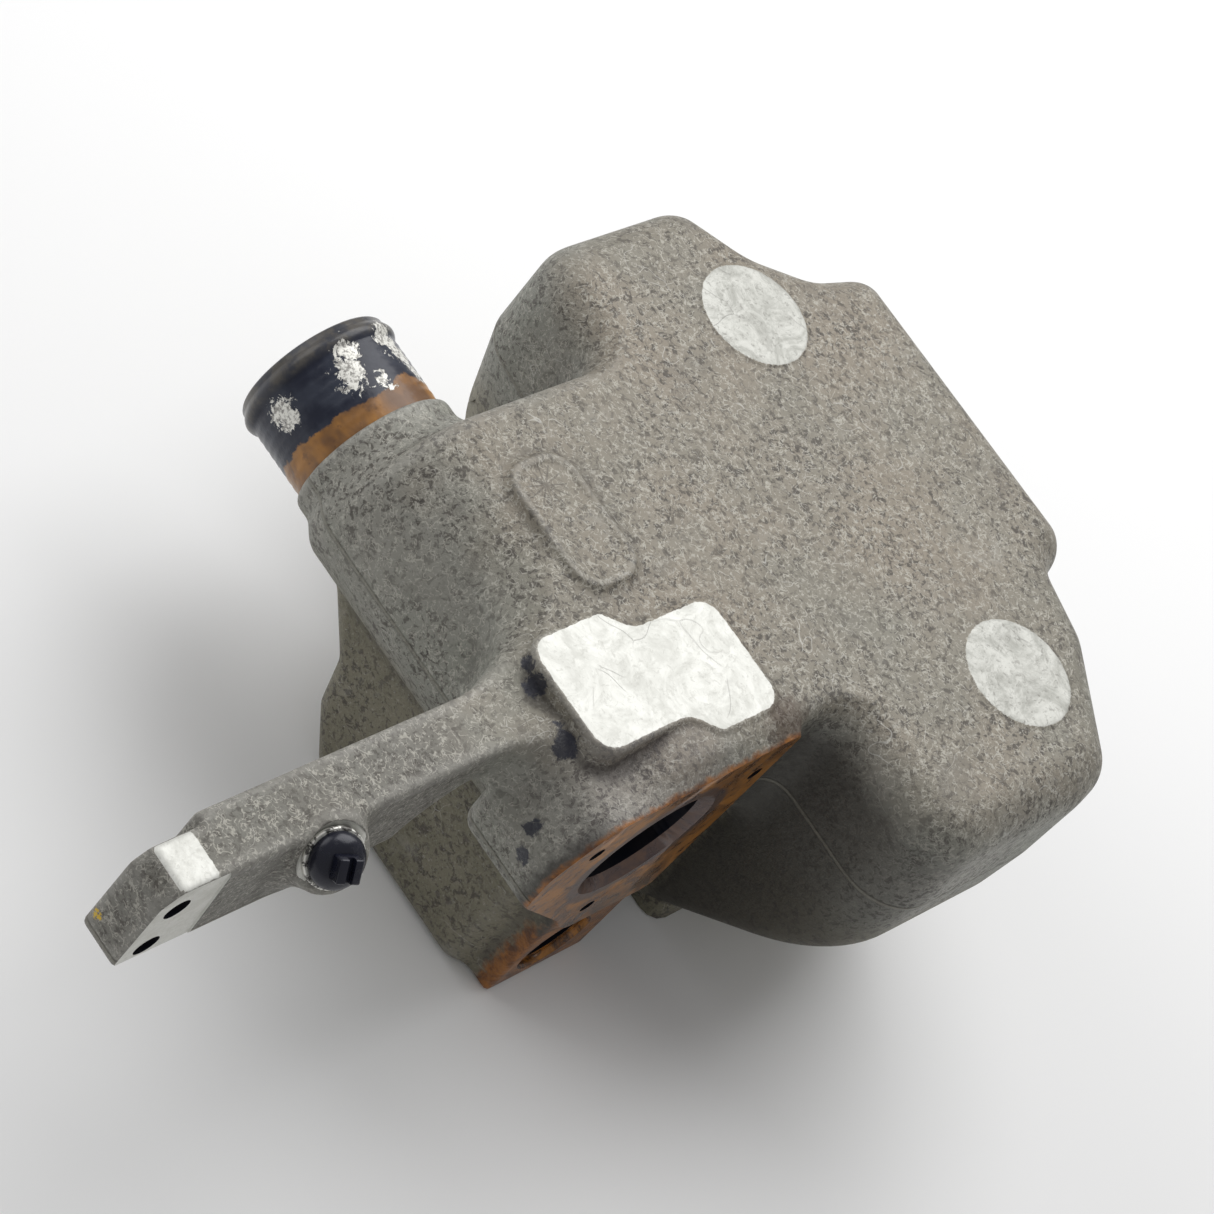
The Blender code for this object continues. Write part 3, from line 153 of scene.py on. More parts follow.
count = np.ceil((HIGH - LOW) / VOXEL).astype(int)
GX = (LOW[0] + VOXEL * np.arange(count[0], dtype=np.float32))[:, None, None]
GY = (LOW[1] + VOXEL * np.arange(count[1], dtype=np.float32))[None, :, None]
GZ = (LOW[2] + VOXEL * np.arange(count[2], dtype=np.float32))[None, None, :]


def prism(corners, axis, low, high, edge):
    """A rounded outline given thickness along an axis, with its edges rounded."""
    a, b, c = {"X": (GY, GZ, GX), "Y": (GX, GZ, GY), "Z": (GX, GY, GZ)}[axis]
    flat = outline_distance(rounded(corners), a, b).astype(np.float32)
    return rounded_common(flat, slab(c, low, high), edge)


def capsule_rod(start, end, radius, edge=1.0, end_radius=None):
    """A cylinder or cone between two points, in millimetres, with rounded rims."""
    start, end = np.array(start, float), np.array(end, float)
    length = np.linalg.norm(end - start)
    d = (end - start) / length
    px, py, pz = GX - start[0], GY - start[1], GZ - start[2]
    along = px * d[0] + py * d[1] + pz * d[2]
    across = np.sqrt(np.maximum(px * px + py * py + pz * pz - along * along, 0))
    wide = radius if end_radius is None else radius + (end_radius - radius) * along / length
    return rounded_common(across - wide, np.abs(along - length / 2) - length / 2, edge)


def chamber():
    """The flat-topped body, narrower towards its rim and sloped in at its left and right ends."""
    wall = outline_distance(rounded(WALL_CORNERS), GX, GY).astype(np.float32)
    rim = outline_distance(rounded(RIM_CORNERS), GX, GY).astype(np.float32)
    share = np.clip((AXIS - GZ) / (AXIS - RIM), 0, 1)
    field = rounded_common(wall * (1 - share) + rim * share, GZ - TOP, ROUNDOVER)
    field = common(field, (-GX - 72 - GZ) / math.sqrt(2), 10.0)
    return common(field, (GX - 60 - GZ) / math.sqrt(2), 8.0)


def pipe_block():
    """The cross pipe with its bridge to the chamber, the port flange and the leg under it."""
    bridge = [(-46, 156.9, 0.1), (-192, 156.9, 42), (-192, 95, 12), (-46, 77, 0.1)]
    block = prism(bridge, "X", -87, 64, 7)
    block = joined(block, prism(FLANGE_CORNERS, "X", 28, 72, 7), 7.0)
    pipe = capsule_rod((-95, PIPE_Y, AXIS), (58, PIPE_Y, AXIS), 37, 9)
    block = joined(block, pipe, 5.0)
    block = joined(block, capsule_rod((-105, PIPE_Y, AXIS), (-70, PIPE_Y, AXIS), 32.3, 2), 5.0)
    leg = prism(LEG_CORNERS, "Y", -173, -110, 9)
    lip = rounded_common(slab(GY, -163.5, -111) + 0 * GX, slab(GX, 44, 66.5) + 0 * GZ, 2.0)
    lip = rounded_common(lip, slab(GZ, 0.2, 67), 2.0)
    leg = joined(leg, lip, 6.0)
    return joined(block, leg, 6.0)


def arm():
    """The bar with its stepped tip, arched underside and the boss that holds the plug."""
    bar = rounded_common(slab(GX, 3.2, 26.6) + 0 * GY, slab(GZ, 104, 148), 2.2)
    bar = rounded_common(bar, slab(GY, -370, -150), 2.0)
    step = np.maximum(GX - 7.7, slab(GY, -400, -343))
    bar = common(bar, -step, 2.5)
    bar = common(bar, (-GY - 363 + GZ - 148) / math.sqrt(2), 1.5)
    arch = np.hypot(GY + 216, GZ - 100) - 30
    bar = common(bar, -arch, 3.0)
    ring = capsule_rod(PLUG_FOOT, (33.0, -301.0, 140.1), 17.5, 1.5, 13.6)
    return joined(bar, ring, 9.0)


def port_boss():
    """The drafted boss under the stepped machined pad."""
    pad = outline_distance(rounded(PAD_CORNERS), GX, GY).astype(np.float32)
    draft = pad - 0.8 - (PORT_PAD_TOP - GZ) * 0.14
    return rounded_common(draft, slab(GZ, 117, PORT_PAD_TOP), 1.2)


def casting_tag():
    """A low plateau with a dished top."""
    tag = outline_distance(rounded(TAG_CORNERS), GX, GY).astype(np.float32)
    plateau = rounded_common(tag, slab(GZ, 140, 159.2), 1.2)
    dish = np.maximum(tag + 3.0, 158.1 - GZ)
    return common(plateau, -dish, 1.2)


def casting():
    """The whole casting's field, each part joined with a fillet of its own."""
    field = np.maximum(joined(chamber(), pipe_block(), 15.0), GZ - TOP)
    root = np.clip((GZ - 122) / 22, 0, 1) * np.clip((GY + 262) / 50, 0, 1)
    side = np.clip((16 - GX) / 16, 0, 1)
    field = np.maximum(joined(field, arm(), 12.0 + 14.0 * root + 20.0 * root * side), GZ - TOP)
    depth = np.clip((148 - GZ) / 16, 0, 1)
    field = np.maximum(joined(field, port_boss(), 1.5 + 6.5 * depth), GZ - PORT_PAD_TOP)
    field = joined(field, casting_tag(), 4.0)
    for x in (-LOBE_X, LOBE_X):
        disc = np.hypot(GX - x, GY) - 23.8
        field = np.minimum(field, np.maximum(disc, slab(GZ, 150, 157.6)))
    return field


def hollows(field, reach=6.0):
    """Positive in creases, negative on edges: the field less its average nearby."""
    cells = int(round(reach / VOXEL))
    mean = field
    for axis in range(3):
        total = np.cumsum(mean, axis=axis, dtype=np.float64)
        ahead = np.roll(total, -cells, axis)
        behind = np.roll(total, cells + 1, axis)
        mean = ((ahead - behind) / (2 * cells + 1)).astype(np.float32)
    return field - mean


def sampled(values, points):
    """The grid's values at points in millimetres."""
    index = np.rint((points - LOW) / VOXEL).astype(int)
    index = np.clip(index, 8, np.array(values.shape) - 9)
    return values[index[:, 0], index[:, 1], index[:, 2]]


def mesh_of(name, field):
    grid = openvdb.FloatGrid(background=3 * VOXEL)
    grid.copyFromArray(np.clip(field, -3 * VOXEL, 3 * VOXEL).astype(np.float32))
    points, triangles, quads = grid.convertToPolygons(isovalue=0.0, adaptivity=0.0)
    points = (points * VOXEL + LOW) * MM
    faces = [tuple(map(int, f)) for f in triangles] + [tuple(map(int, f)) for f in quads]
    mesh = bpy.data.meshes.new(name)
    mesh.from_pydata(points.tolist(), [], faces)
    shape = bmesh.new()
    shape.from_mesh(mesh)
    bmesh.ops.recalc_face_normals(shape, faces=shape.faces)
    shape.to_mesh(mesh)
    shape.free()
    obj = bpy.data.objects.new(name, mesh)
    bpy.context.scene.collection.objects.link(obj)
    return obj


# ---- Node materials ----


class Nodes:
    """A material's node tree, with short calls for the nodes used here."""

    def __init__(self, name):
        self.material = bpy.data.materials.new(name)
        self.material.use_nodes = True
        self.tree = self.material.node_tree
        self.shader = self.tree.nodes["Principled BSDF"]
        self.place = self.tree.nodes.new("ShaderNodeTexCoord").outputs["Object"]

    def put(self, socket, value):
        if isinstance(value, bpy.types.NodeSocket):
            self.tree.links.new(value, socket)
        elif value is not None:
            socket.default_value = value

    def maths(self, operation, a, b=None, c=None, clamp=False):
        node = self.tree.nodes.new("ShaderNodeMath")
        node.operation = operation
        node.use_clamp = clamp
        for socket, value in zip(node.inputs, (a, b, c)):
            self.put(socket, value)
        return node.outputs[0]

    def mix(self, share, a, b, blend="MIX"):
        node = self.tree.nodes.new("ShaderNodeMix")
        node.data_type = "RGBA"
        node.blend_type = blend
        self.put(node.inputs[0], share)
        self.put(node.inputs[6], a)
        self.put(node.inputs[7], b)
        return node.outputs[2]

    def step(self, value, low, high):
        """0 below low, 1 above high, smooth between."""
        node = self.tree.nodes.new("ShaderNodeMapRange")
        node.interpolation_type = "SMOOTHSTEP"
        self.put(node.inputs[0], value)
        node.inputs[1].default_value = low
        node.inputs[2].default_value = high
        return node.outputs[0]

    def noise(self, scale, detail=3.0, rough=0.55, warp=0.0, seed=0.0):
        node = self.tree.nodes.new("ShaderNodeTexNoise")
        node.noise_dimensions = "4D"
        self.put(node.inputs["Vector"], self.place)
        node.inputs["W"].default_value = seed
        node.inputs["Scale"].default_value = scale
        node.inputs["Detail"].default_value = detail
        node.inputs["Roughness"].default_value = rough
        node.inputs["Distortion"].default_value = warp
        return node.outputs[0]

    def axis(self, which):
        node = self.tree.nodes.new("ShaderNodeSeparateXYZ")
        self.put(node.inputs[0], self.place)
        return node.outputs[which]

    def away(self, centre):
        """Distance from a point, in metres."""
        node = self.tree.nodes.new("ShaderNodeVectorMath")
        node.operation = "DISTANCE"
        self.put(node.inputs[0], self.place)
        node.inputs[1].default_value = centre
        return node.outputs["Value"]

    def attribute(self, name):
        node = self.tree.nodes.new("ShaderNodeAttribute")
        node.attribute_name = name
        return node.outputs["Fac"]

    def scratches(self, scale, width, amount, seed=0.0):
        """Short thin lines: the edges of cells, kept only in patches."""
        node = self.tree.nodes.new("ShaderNodeTexVoronoi")
        node.feature = "DISTANCE_TO_EDGE"
        warp = self.mix(0.06, self.place, self.colour_noise(scale * 0.5))
        self.put(node.inputs["Vector"], warp)
        node.inputs["Scale"].default_value = scale
        line = self.maths("SUBTRACT", 1.0, self.step(node.outputs["Distance"], 0.0, width))
        patches = self.step(self.noise(scale * 0.8, 2, seed=seed + 5), amount, amount + 0.06)
        return self.maths("MULTIPLY", line, patches)

    def squiggles(self, scale, width, seed, low=0.46, high=0.58):
        """Short worm-like strokes: a noise's contour lines, broken up."""
        field = self.noise(scale, 1.5, 0.5, 0.7, seed=seed)
        line = self.step(self.maths("ABSOLUTE", self.maths("SUBTRACT", field, 0.5)), width, width * 0.3)
        return self.maths("MULTIPLY", line, self.step(self.noise(scale * 0.9, 2, seed=seed + 0.7), low, high))

    def blots(self, places, fray, soft):
        """Ragged spots, each given as its centre and radius in metres."""
        spots = None
        for centre, radius in places:
            spot = self.step(self.maths("ADD", self.away(centre), fray), radius, radius - soft)
            spots = spot if spots is None else self.maths("MAXIMUM", spots, spot)
        return spots

    def colour_noise(self, scale):
        node = self.tree.nodes.new("ShaderNodeTexNoise")
        self.put(node.inputs["Vector"], self.place)
        node.inputs["Scale"].default_value = scale
        return node.outputs["Color"]

    def bump(self, height, distance, strength=1.0, normal=None):
        node = self.tree.nodes.new("ShaderNodeBump")
        node.inputs["Strength"].default_value = strength
        node.inputs["Distance"].default_value = distance
        self.put(node.inputs["Height"], height)
        if normal is not None:
            self.put(node.inputs["Normal"], normal)
        return node.outputs[0]

    def finish(self, colour, metallic, roughness, normal=None, coat=None):
        self.put(self.shader.inputs["Base Color"], colour)
        self.put(self.shader.inputs["Metallic"], metallic)
        self.put(self.shader.inputs["Roughness"], roughness)
        if normal is not None:
            self.put(self.shader.inputs["Normal"], normal)
        if coat is not None:
            self.put(self.shader.inputs["Coat Weight"], coat)
            self.shader.inputs["Coat Roughness"].default_value = 0.12
        return self.material


ORANGE = (0.36, 0.135, 0.022, 1)
ORANGE_DARK = (0.10, 0.035, 0.012, 1)
PAINT = (0.013, 0.016, 0.033, 1)
SILVER = (0.80, 0.79, 0.74, 1)

# centre and radius in metres of each remnant of paint on the casting, and each flake off the neck
PAINT_SPOTS = (
    ((0.0120, -0.1965, 0.1520), 0.0050), ((0.0050, -0.1950, 0.1530), 0.0040),
    ((0.0340, -0.1990, 0.1490), 0.0058), ((0.0280, -0.1990, 0.1500), 0.0030),
    ((0.0500, -0.2130, 0.1280), 0.0038), ((0.0550, -0.2170, 0.1200), 0.0042),
)
FLAKES = (
    ((-0.1275, -0.1840, 0.1130), 0.0072), ((-0.1330, -0.1640, 0.1356), 0.0060),
    ((-0.1265, -0.1670, 0.1345), 0.0062), ((-0.1215, -0.1680, 0.1340), 0.0048),
    ((-0.1330, -0.1440, 0.1350), 0.0075), ((-0.1260, -0.1400, 0.1330), 0.0062),
    ((-0.1190, -0.1380, 0.1320), 0.0050), ((-0.1170, -0.1580, 0.1370), 0.0038),
)
FLAKE_SHARE = 0.82


def cast_surface(n):
    """Colour, roughness and normal of the weathered casting."""
    y, z = n.axis(1), n.axis(2)
    cloud = n.step(n.noise(14, 3, 0.6), 0.36, 0.64)
    warm = n.mix(cloud, (0.222, 0.207, 0.170, 1), (0.250, 0.219, 0.174, 1))
    cool = n.mix(cloud, (0.235, 0.240, 0.206, 1), (0.270, 0.264, 0.232, 1))
    wander = n.maths("MULTIPLY_ADD", n.noise(30, 3, seed=8), 0.03, -0.015)
    colour = n.mix(n.step(n.maths("ADD", z, wander), 0.140, 0.158), cool, warm)
    olive = n.mix(cloud, (0.165, 0.155, 0.108, 1), (0.205, 0.190, 0.138, 1))
    colour = n.mix(n.step(n.maths("ADD", z, wander), 0.100, 0.070), colour, olive)
    colour = n.mix(n.maths("MULTIPLY", n.step(y, -0.215, -0.245), 0.75), colour, (0.150, 0.143, 0.125, 1))
    # mottling of dark pits and light strokes
    mottle = n.noise(330, 3, 0.62, 0.9, seed=2)
    strength = n.step(n.noise(26, 3, 0.6, seed=7), 0.30, 0.62)
    dark = n.maths("MULTIPLY", n.step(mottle, 0.50, 0.60), n.maths("MULTIPLY_ADD", strength, 0.50, 0.36))
    colour = n.mix(dark, colour, (0.070, 0.061, 0.052, 1))
    pit = n.maths("MULTIPLY", n.step(n.noise(560, 2, 0.6, 1.2, seed=3), 0.58, 0.66), strength)
    colour = n.mix(n.maths("MULTIPLY", pit, 0.65), colour, (0.050, 0.045, 0.040, 1))
    light = n.maths("MAXIMUM", n.squiggles(300, 0.035, 5.0), n.squiggles(410, 0.04, 6.5))
    light = n.maths("MULTIPLY", light, n.maths("MULTIPLY_ADD", n.step(z, 0.075, 0.125), 0.52, 0.12))
    colour = n.mix(light, colour, (0.480, 0.462, 0.405, 1))
    flecks = n.step(n.noise(780, 2, 0.7, 0.6, seed=9), 0.60, 0.70)
    colour = n.mix(n.maths("MULTIPLY", flecks, 0.45), colour, (0.420, 0.410, 0.380, 1))
    patch = n.noise(48, 4, 0.65, 0.4, seed=1)
    colour = n.mix(n.maths("MULTIPLY", n.step(patch, 0.54, 0.74), 0.40), colour, (0.110, 0.098, 0.084, 1))
    colour = n.mix(n.maths("MULTIPLY", n.step(patch, 0.42, 0.26), 0.35), colour, (0.360, 0.350, 0.315, 1))
    scratch = n.scratches(55, 0.010, 0.56)
    colour = n.mix(n.maths("MULTIPLY", scratch, 0.6), colour, (0.56, 0.55, 0.51, 1))
    # grime and painted shade darken the creases, in place of occlusion; edges lighter
    hollow = n.attribute("hollow")
    depth = n.maths("MULTIPLY_ADD", n.noise(150, 3, seed=10), 0.5, n.maths("ADD", hollow, -0.25))
    grime_and_shade = n.step(depth, 0.10, 0.95)
    colour = n.mix(n.maths("MULTIPLY", grime_and_shade, 0.62), colour, (0.060, 0.052, 0.044, 1))
    lighter_edges = n.step(hollow, -0.35, -1.5)
    colour = n.mix(n.maths("MULTIPLY", lighter_edges, 0.28), colour, (0.42, 0.41, 0.38, 1))
    rough = n.maths("MULTIPLY_ADD", mottle, 0.25, 0.45)
    normal = n.bump(n.noise(620, 4, 0.7, seed=4), 0.0008, 0.6)
    normal = n.bump(n.noise(120, 3, 0.6, seed=6), 0.0012, 0.35, normal)
    return colour, rough, normal


def machined_surface(n):
    """Colour, roughness and normal of a bright machined face with swirls, scratches and pores."""
    swirl = n.noise(60, 5, 0.75, 2.2, seed=11)
    fine = n.noise(420, 4, 0.7, 1.2, seed=12)
    colour = n.mix(n.step(swirl, 0.38, 0.66), (0.50, 0.50, 0.465, 1), (0.33, 0.33, 0.30, 1))
    colour = n.mix(n.maths("MULTIPLY", n.step(fine, 0.53, 0.64), 0.6), colour, (0.20, 0.195, 0.175, 1))
    pores = n.step(n.noise(330, 2, 0.5, seed=13), 0.70, 0.74)
    colour = n.mix(n.maths("MULTIPLY", pores, 0.8), colour, (0.20, 0.19, 0.17, 1))
    line = n.scratches(38, 0.010, 0.52, seed=3)
    colour = n.mix(n.maths("MULTIPLY", line, 0.5), colour, (0.30, 0.295, 0.27, 1))
    curls = n.squiggles(130, 0.02, 14.0, 0.50, 0.60)
    colour = n.mix(n.maths("MULTIPLY", curls, 0.45), colour, (0.33, 0.325, 0.30, 1))
    rough = n.maths("MULTIPLY_ADD", swirl, 0.3, 0.36)
    normal = n.bump(n.maths("ADD", fine, line), 0.0002, 0.5)
    return colour, rough, normal


def housing_material():
    """The casting with its parting line, marks, stains, paint remnants and machined pads."""
    n = Nodes("cast_housing")
    colour, rough, normal = cast_surface(n)
    metallic = 0.25
    x, y, z = n.axis(0), n.axis(1), n.axis(2)
    ragged = n.maths("MULTIPLY_ADD", n.noise(230, 3, 0.6, seed=20), 0.010, -0.005)
    # parting line: a thin ridge round the casting at the pipe's axis
    waver = n.maths("MULTIPLY_ADD", n.noise(90, 2, seed=21), 0.0008, -0.1074)
    seam = n.maths("ABSOLUTE", n.maths("ADD", z, waver))
    seam = n.maths("SUBTRACT", 1.0, n.step(seam, 0.0003, 0.0014))
    normal = n.bump(seam, 0.0010, 0.9, normal)
    # ejector mark: a ring on the top
    mark = n.maths("ABSOLUTE", n.maths("SUBTRACT", n.away((-0.0066, 0.0532, 0.157)), 0.0075))
    mark = n.maths("SUBTRACT", 1.0, n.step(mark, 0.0001, 0.0006))
    normal = n.bump(mark, 0.0004, -0.7, normal)
    colour = n.mix(n.maths("MULTIPLY", mark, 0.45), colour, (0.11, 0.10, 0.085, 1))
    # dial of spokes on the casting tag
    dx, dy = n.maths("ADD", x, 0.0505), n.maths("ADD", y, 0.1445)
    turn = n.maths("MULTIPLY", n.maths("ARCTAN2", dy, dx), 12 / math.tau)
    spoke = n.maths("ABSOLUTE", n.maths("SUBTRACT", n.maths("FRACT", n.maths("ADD", turn, 24.0)), 0.5))
    reach = n.maths("SQRT", n.maths("ADD", n.maths("MULTIPLY", dx, dx), n.maths("MULTIPLY", dy, dy)))
    spoke = n.maths("MULTIPLY", spoke, n.maths("MULTIPLY", reach, math.tau / 12))
    spoke = n.maths("MULTIPLY", n.step(spoke, 0.0005, 0.0001), n.step(reach, 0.0096, 0.0090))
    spoke = n.maths("MULTIPLY", spoke, n.step(n.noise(140, 2, seed=26), 0.36, 0.46))
    spoke = n.maths("MULTIPLY", spoke, n.step(z, 0.1565, 0.1570))
    normal = n.bump(spoke, 0.0005, -0.9, normal)
    colour = n.mix(n.maths("MULTIPLY", spoke, 0.55), colour, (0.09, 0.08, 0.068, 1))
    # orange-brown stain that creeps over the flange's edges
    creep = n.step(n.maths("ADD", x, n.maths("MULTIPLY", ragged, 0.5)), 0.0655, 0.0680)
    creep = n.maths("MULTIPLY", creep, n.step(z, 0.158, 0.1560))
    low = n.step(n.maths("ADD", z, n.maths("MULTIPLY", ragged, 2.0)), 0.048, 0.040)
    lip = n.maths("MULTIPLY", low, n.step(n.maths("ADD", x, ragged), 0.0575, 0.0620))
    near = n.step(y, -0.098, -0.104)
    stain = n.maths("MULTIPLY", n.maths("MAXIMUM", creep, lip), near, clamp=True)
    tint = n.maths("ADD", n.away((0.062, -0.112, 0.157)), n.maths("MULTIPLY", ragged, 1.5))
    colour = n.mix(n.maths("MULTIPLY", n.step(tint, 0.016, 0.004), 0.60), colour, (0.060, 0.032, 0.018, 1))
    # painted shade: the right lobe's front wall below its rounded top edge darkened, a little less towards
    # its right end
    shade = n.maths("MULTIPLY", n.step(y, -0.052, -0.078), n.step(n.maths("ADD", x, ragged), 0.058, 0.066))
    shade = n.maths("MULTIPLY", shade, n.step(z, 0.154, 0.132))
    far = n.maths("MULTIPLY_ADD", n.step(x, 0.080, 0.135), -0.25, 0.86)
    colour = n.mix(n.maths("MULTIPLY", shade, far), colour, (0.045, 0.042, 0.036, 1))
    # parting line in the body's own tone, laid after the painted shade so it shows as a light line on the
    # lobe front: partly the seam's tone, partly a painted highlight along the ridge
    colour = n.mix(n.maths("MULTIPLY", seam, 0.60), colour, (0.21, 0.20, 0.165, 1))
    violet = n.maths("MULTIPLY", n.step(n.away((0.062, -0.175, 0.140)), 0.052, 0.020), 0.16)
    colour = n.mix(violet, colour, (0.185, 0.160, 0.178, 1))
    rust = n.mix(n.step(n.noise(120, 4, 0.7, 0.8, seed=22), 0.36, 0.62), ORANGE_DARK, ORANGE)
    colour = n.mix(n.maths("MULTIPLY", stain, 0.88), colour, rust)
    rough = n.maths("MULTIPLY_ADD", stain, -0.22, rough)
    # remnants of blue-black paint beside the port pad and at the flange's edge
    fray = n.maths("MULTIPLY_ADD", n.noise(330, 4, 0.7, 0.6, seed=23), 0.010, -0.005)
    spots = n.blots(PAINT_SPOTS, fray, 0.0015)
    colour = n.mix(n.maths("MULTIPLY", spots, 0.85), colour, PAINT)
    rough = n.maths("MULTIPLY_ADD", spots, -0.2, rough)
    # dab of yellow paint on the arm's end
    frayed = n.maths("ADD", n.away((0.011, -0.370, 0.1135)), n.maths("MULTIPLY", ragged, 0.5))
    dab = n.maths("MULTIPLY", n.step(frayed, 0.0022, 0.0015), n.step(n.noise(700, 2, seed=24), 0.42, 0.5))
    colour = n.mix(dab, colour, (0.62, 0.42, 0.04, 1))
    # machined pads
    chips = n.maths("MULTIPLY_ADD", n.noise(420, 3, 0.6, seed=25), 1.4, -0.7)
    pads = n.step(n.maths("ADD", n.attribute("pads"), chips), 0.25, 0.55)
    bright, smooth, flat = machined_surface(n)
    paler = n.maths("MAXIMUM", n.step(z, 0.1578, 0.1581), n.step(y, -0.3, -0.31))
    lift = n.maths("MULTIPLY", paler, n.step(y, -0.05, -0.06))
    bright = n.mix(n.maths("MULTIPLY", lift, 0.45), bright, (0.72, 0.72, 0.66, 1), "SCREEN")
    colour = n.mix(pads, colour, bright)
    rough = n.mix(pads, rough, smooth)
    normal = n.mix(pads, normal, flat)
    return n.finish(colour, n.maths("MULTIPLY_ADD", pads, 0.1, metallic), rough, normal)


def machined_material():
    n = Nodes("machined_aluminium")
    colour, rough, normal = machined_surface(n)
    colour = n.mix(0.75, colour, (0.62, 0.61, 0.54, 1), "SCREEN")
    return n.finish(colour, 0.10, rough, normal)


def flange_material():
    """The machined port flange under an uneven orange-brown film, darker and bare round the bore."""
    n = Nodes("stained_flange")
    patch = n.noise(70, 5, 0.7, 0.9, seed=31)
    colour = n.mix(n.step(patch, 0.38, 0.62), (0.130, 0.050, 0.012, 1), (0.43, 0.175, 0.024, 1))
    fleck = n.maths("MULTIPLY", n.step(n.noise(260, 3, 0.6, seed=32), 0.56, 0.66), 0.7)
    colour = n.mix(fleck, colour, (0.06, 0.022, 0.012, 1))
    waver = n.maths("MULTIPLY_ADD", n.noise(80, 3, seed=33), 0.008, -0.004)
    ring = n.maths("ADD", n.away((FLANGE_X * MM, PIPE_Y * MM, AXIS * MM)), waver)
    bare = n.step(ring, 0.0360, 0.0330)
    colour = n.mix(n.maths("MULTIPLY", bare, 0.82), colour, (0.062, 0.046, 0.050, 1))
    rough = n.maths("MULTIPLY_ADD", patch, 0.4, 0.10)
    low = n.step(n.maths("MULTIPLY_ADD", n.noise(120, 3, seed=35), 0.03, n.axis(2)), 0.078, 0.060)
    murk = n.maths("MULTIPLY", low, n.step(n.noise(150, 4, 0.7, 0.8, seed=36), 0.44, 0.56))
    colour = n.mix(n.maths("MULTIPLY", murk, 0.8), colour, (0.022, 0.012, 0.010, 1))
    return n.finish(colour, 0.20, rough, n.bump(n.noise(300, 4, 0.6, seed=34), 0.0004, 0.6), 0.25)


def bore_material():
    # painted shade: the bores and holes given a near-black colour and little reflection
    n = Nodes("bore")
    tone = n.step(n.noise(90, 4, seed=41), 0.4, 0.62)
    colour = n.mix(tone, (0.004, 0.005, 0.010, 1), (0.012, 0.011, 0.014, 1))
    n.shader.inputs["Specular IOR Level"].default_value = 0.1
    return n.finish(colour, 0.0, 0.7, n.bump(n.noise(400, 3, seed=42), 0.0003, 0.4))


def neck_material():
    """Blue-black paint over the outer part of the neck, flaked to silver, and orange-brown at its root."""
    n = Nodes("hose_neck_paint")
    x = n.axis(0)
    ragged = n.maths("MULTIPLY_ADD", n.noise(120, 4, 0.65, 0.5, seed=51), 0.008, -0.004)
    wave = n.maths("MULTIPLY_ADD", n.noise(28, 1, seed=57), 0.014, -0.007)
    along = n.maths("ADD", x, n.maths("ADD", ragged, wave))
    tone = n.step(n.noise(60, 3, 0.6, 0.4, seed=52), 0.36, 0.64)
    rust = n.mix(tone, (0.155, 0.078, 0.036, 1), (0.40, 0.185, 0.042, 1))
    grit = n.maths("MULTIPLY", n.step(n.noise(240, 3, seed=58), 0.60, 0.70), 0.5)
    rust = n.mix(grit, rust, (0.10, 0.05, 0.03, 1))
    tone = n.step(n.noise(90, 3, seed=53), 0.4, 0.65)
    paint = n.mix(tone, (0.010, 0.013, 0.028, 1), (0.030, 0.036, 0.055, 1))
    tone = n.step(n.noise(170, 4, seed=59), 0.4, 0.6)
    slate = n.mix(tone, (0.040, 0.042, 0.052, 1), (0.085, 0.078, 0.070, 1))
    paint = n.mix(n.step(x, -0.1345, -0.1375), paint, slate)
    colour = n.mix(n.step(along, -0.1165, -0.1155), paint, rust)
    fray = n.maths("MULTIPLY_ADD", n.noise(260, 5, 0.72, 0.9, seed=54), 0.022, -0.011)
    flake = n.blots([(centre, radius * FLAKE_SHARE) for centre, radius in FLAKES], fray, 0.0008)
    silver = n.mix(n.step(n.noise(600, 3, 0.7, seed=55), 0.45, 0.6), SILVER, (0.30, 0.29, 0.27, 1))
    colour = n.mix(flake, colour, silver)
    rough = n.maths("MULTIPLY_ADD", flake, 0.15, n.maths("MULTIPLY_ADD", ragged, 9.0, 0.32))
    height = n.maths("SUBTRACT", n.noise(220, 4, 0.6, seed=56), n.maths("MULTIPLY", flake, 0.9))
    n.shader.inputs["Specular IOR Level"].default_value = 0.35
    return n.finish(colour, n.maths("MULTIPLY", flake, 0.3), rough, n.bump(height, 0.0005, 0.5), 0.08)


def plain_metal(name, colour, metallic, roughness, grain=260, spread=0.25):
    n = Nodes(name)
    tone = n.noise(grain, 4, 0.65, 0.5, seed=61)
    dark = tuple(c * (1 - spread) for c in colour) + (1,)
    mixed = n.mix(n.step(tone, 0.35, 0.65), (*colour, 1), dark)
    rough = n.maths("MULTIPLY_ADD", tone, 0.2, roughness - 0.1)
    return n.finish(mixed, metallic, rough, n.bump(n.noise(grain * 2.5, 3, seed=62), 0.0002, 0.35))


def cover_material():
    n = Nodes("cast_cover")
    colour, rough, normal = cast_surface(n)
    return n.finish(colour, 0.25, rough, normal)


# ---- Cuts ----


def cutter_box(name, low, high, index):
    shape = bmesh.new()
    size = [(b - a) * MM for a, b in zip(low, high)]
    middle = [(a + b) / 2 * MM for a, b in zip(low, high)]
    bmesh.ops.create_cube(shape, size=1, matrix=Matrix.Translation(middle) @ Matrix.Diagonal((*size, 1)))
    return shape_object(name, shape, index)


def cutter_rod(name, radius, start, end, index, sides=96, end_radius=None):
    start, end = Vector(start) * MM, Vector(end) * MM
    shape = bmesh.new()
    bmesh.ops.create_cone(
        shape, cap_ends=True, segments=sides, radius1=radius * MM,
        radius2=(radius if end_radius is None else end_radius) * MM, depth=(end - start).length,
    )
    turn = (end - start).to_track_quat("Z", "Y").to_matrix().to_4x4()
    bmesh.ops.transform(shape, matrix=Matrix.Translation((start + end) / 2) @ turn, verts=shape.verts)
    return shape_object(name, shape, index)


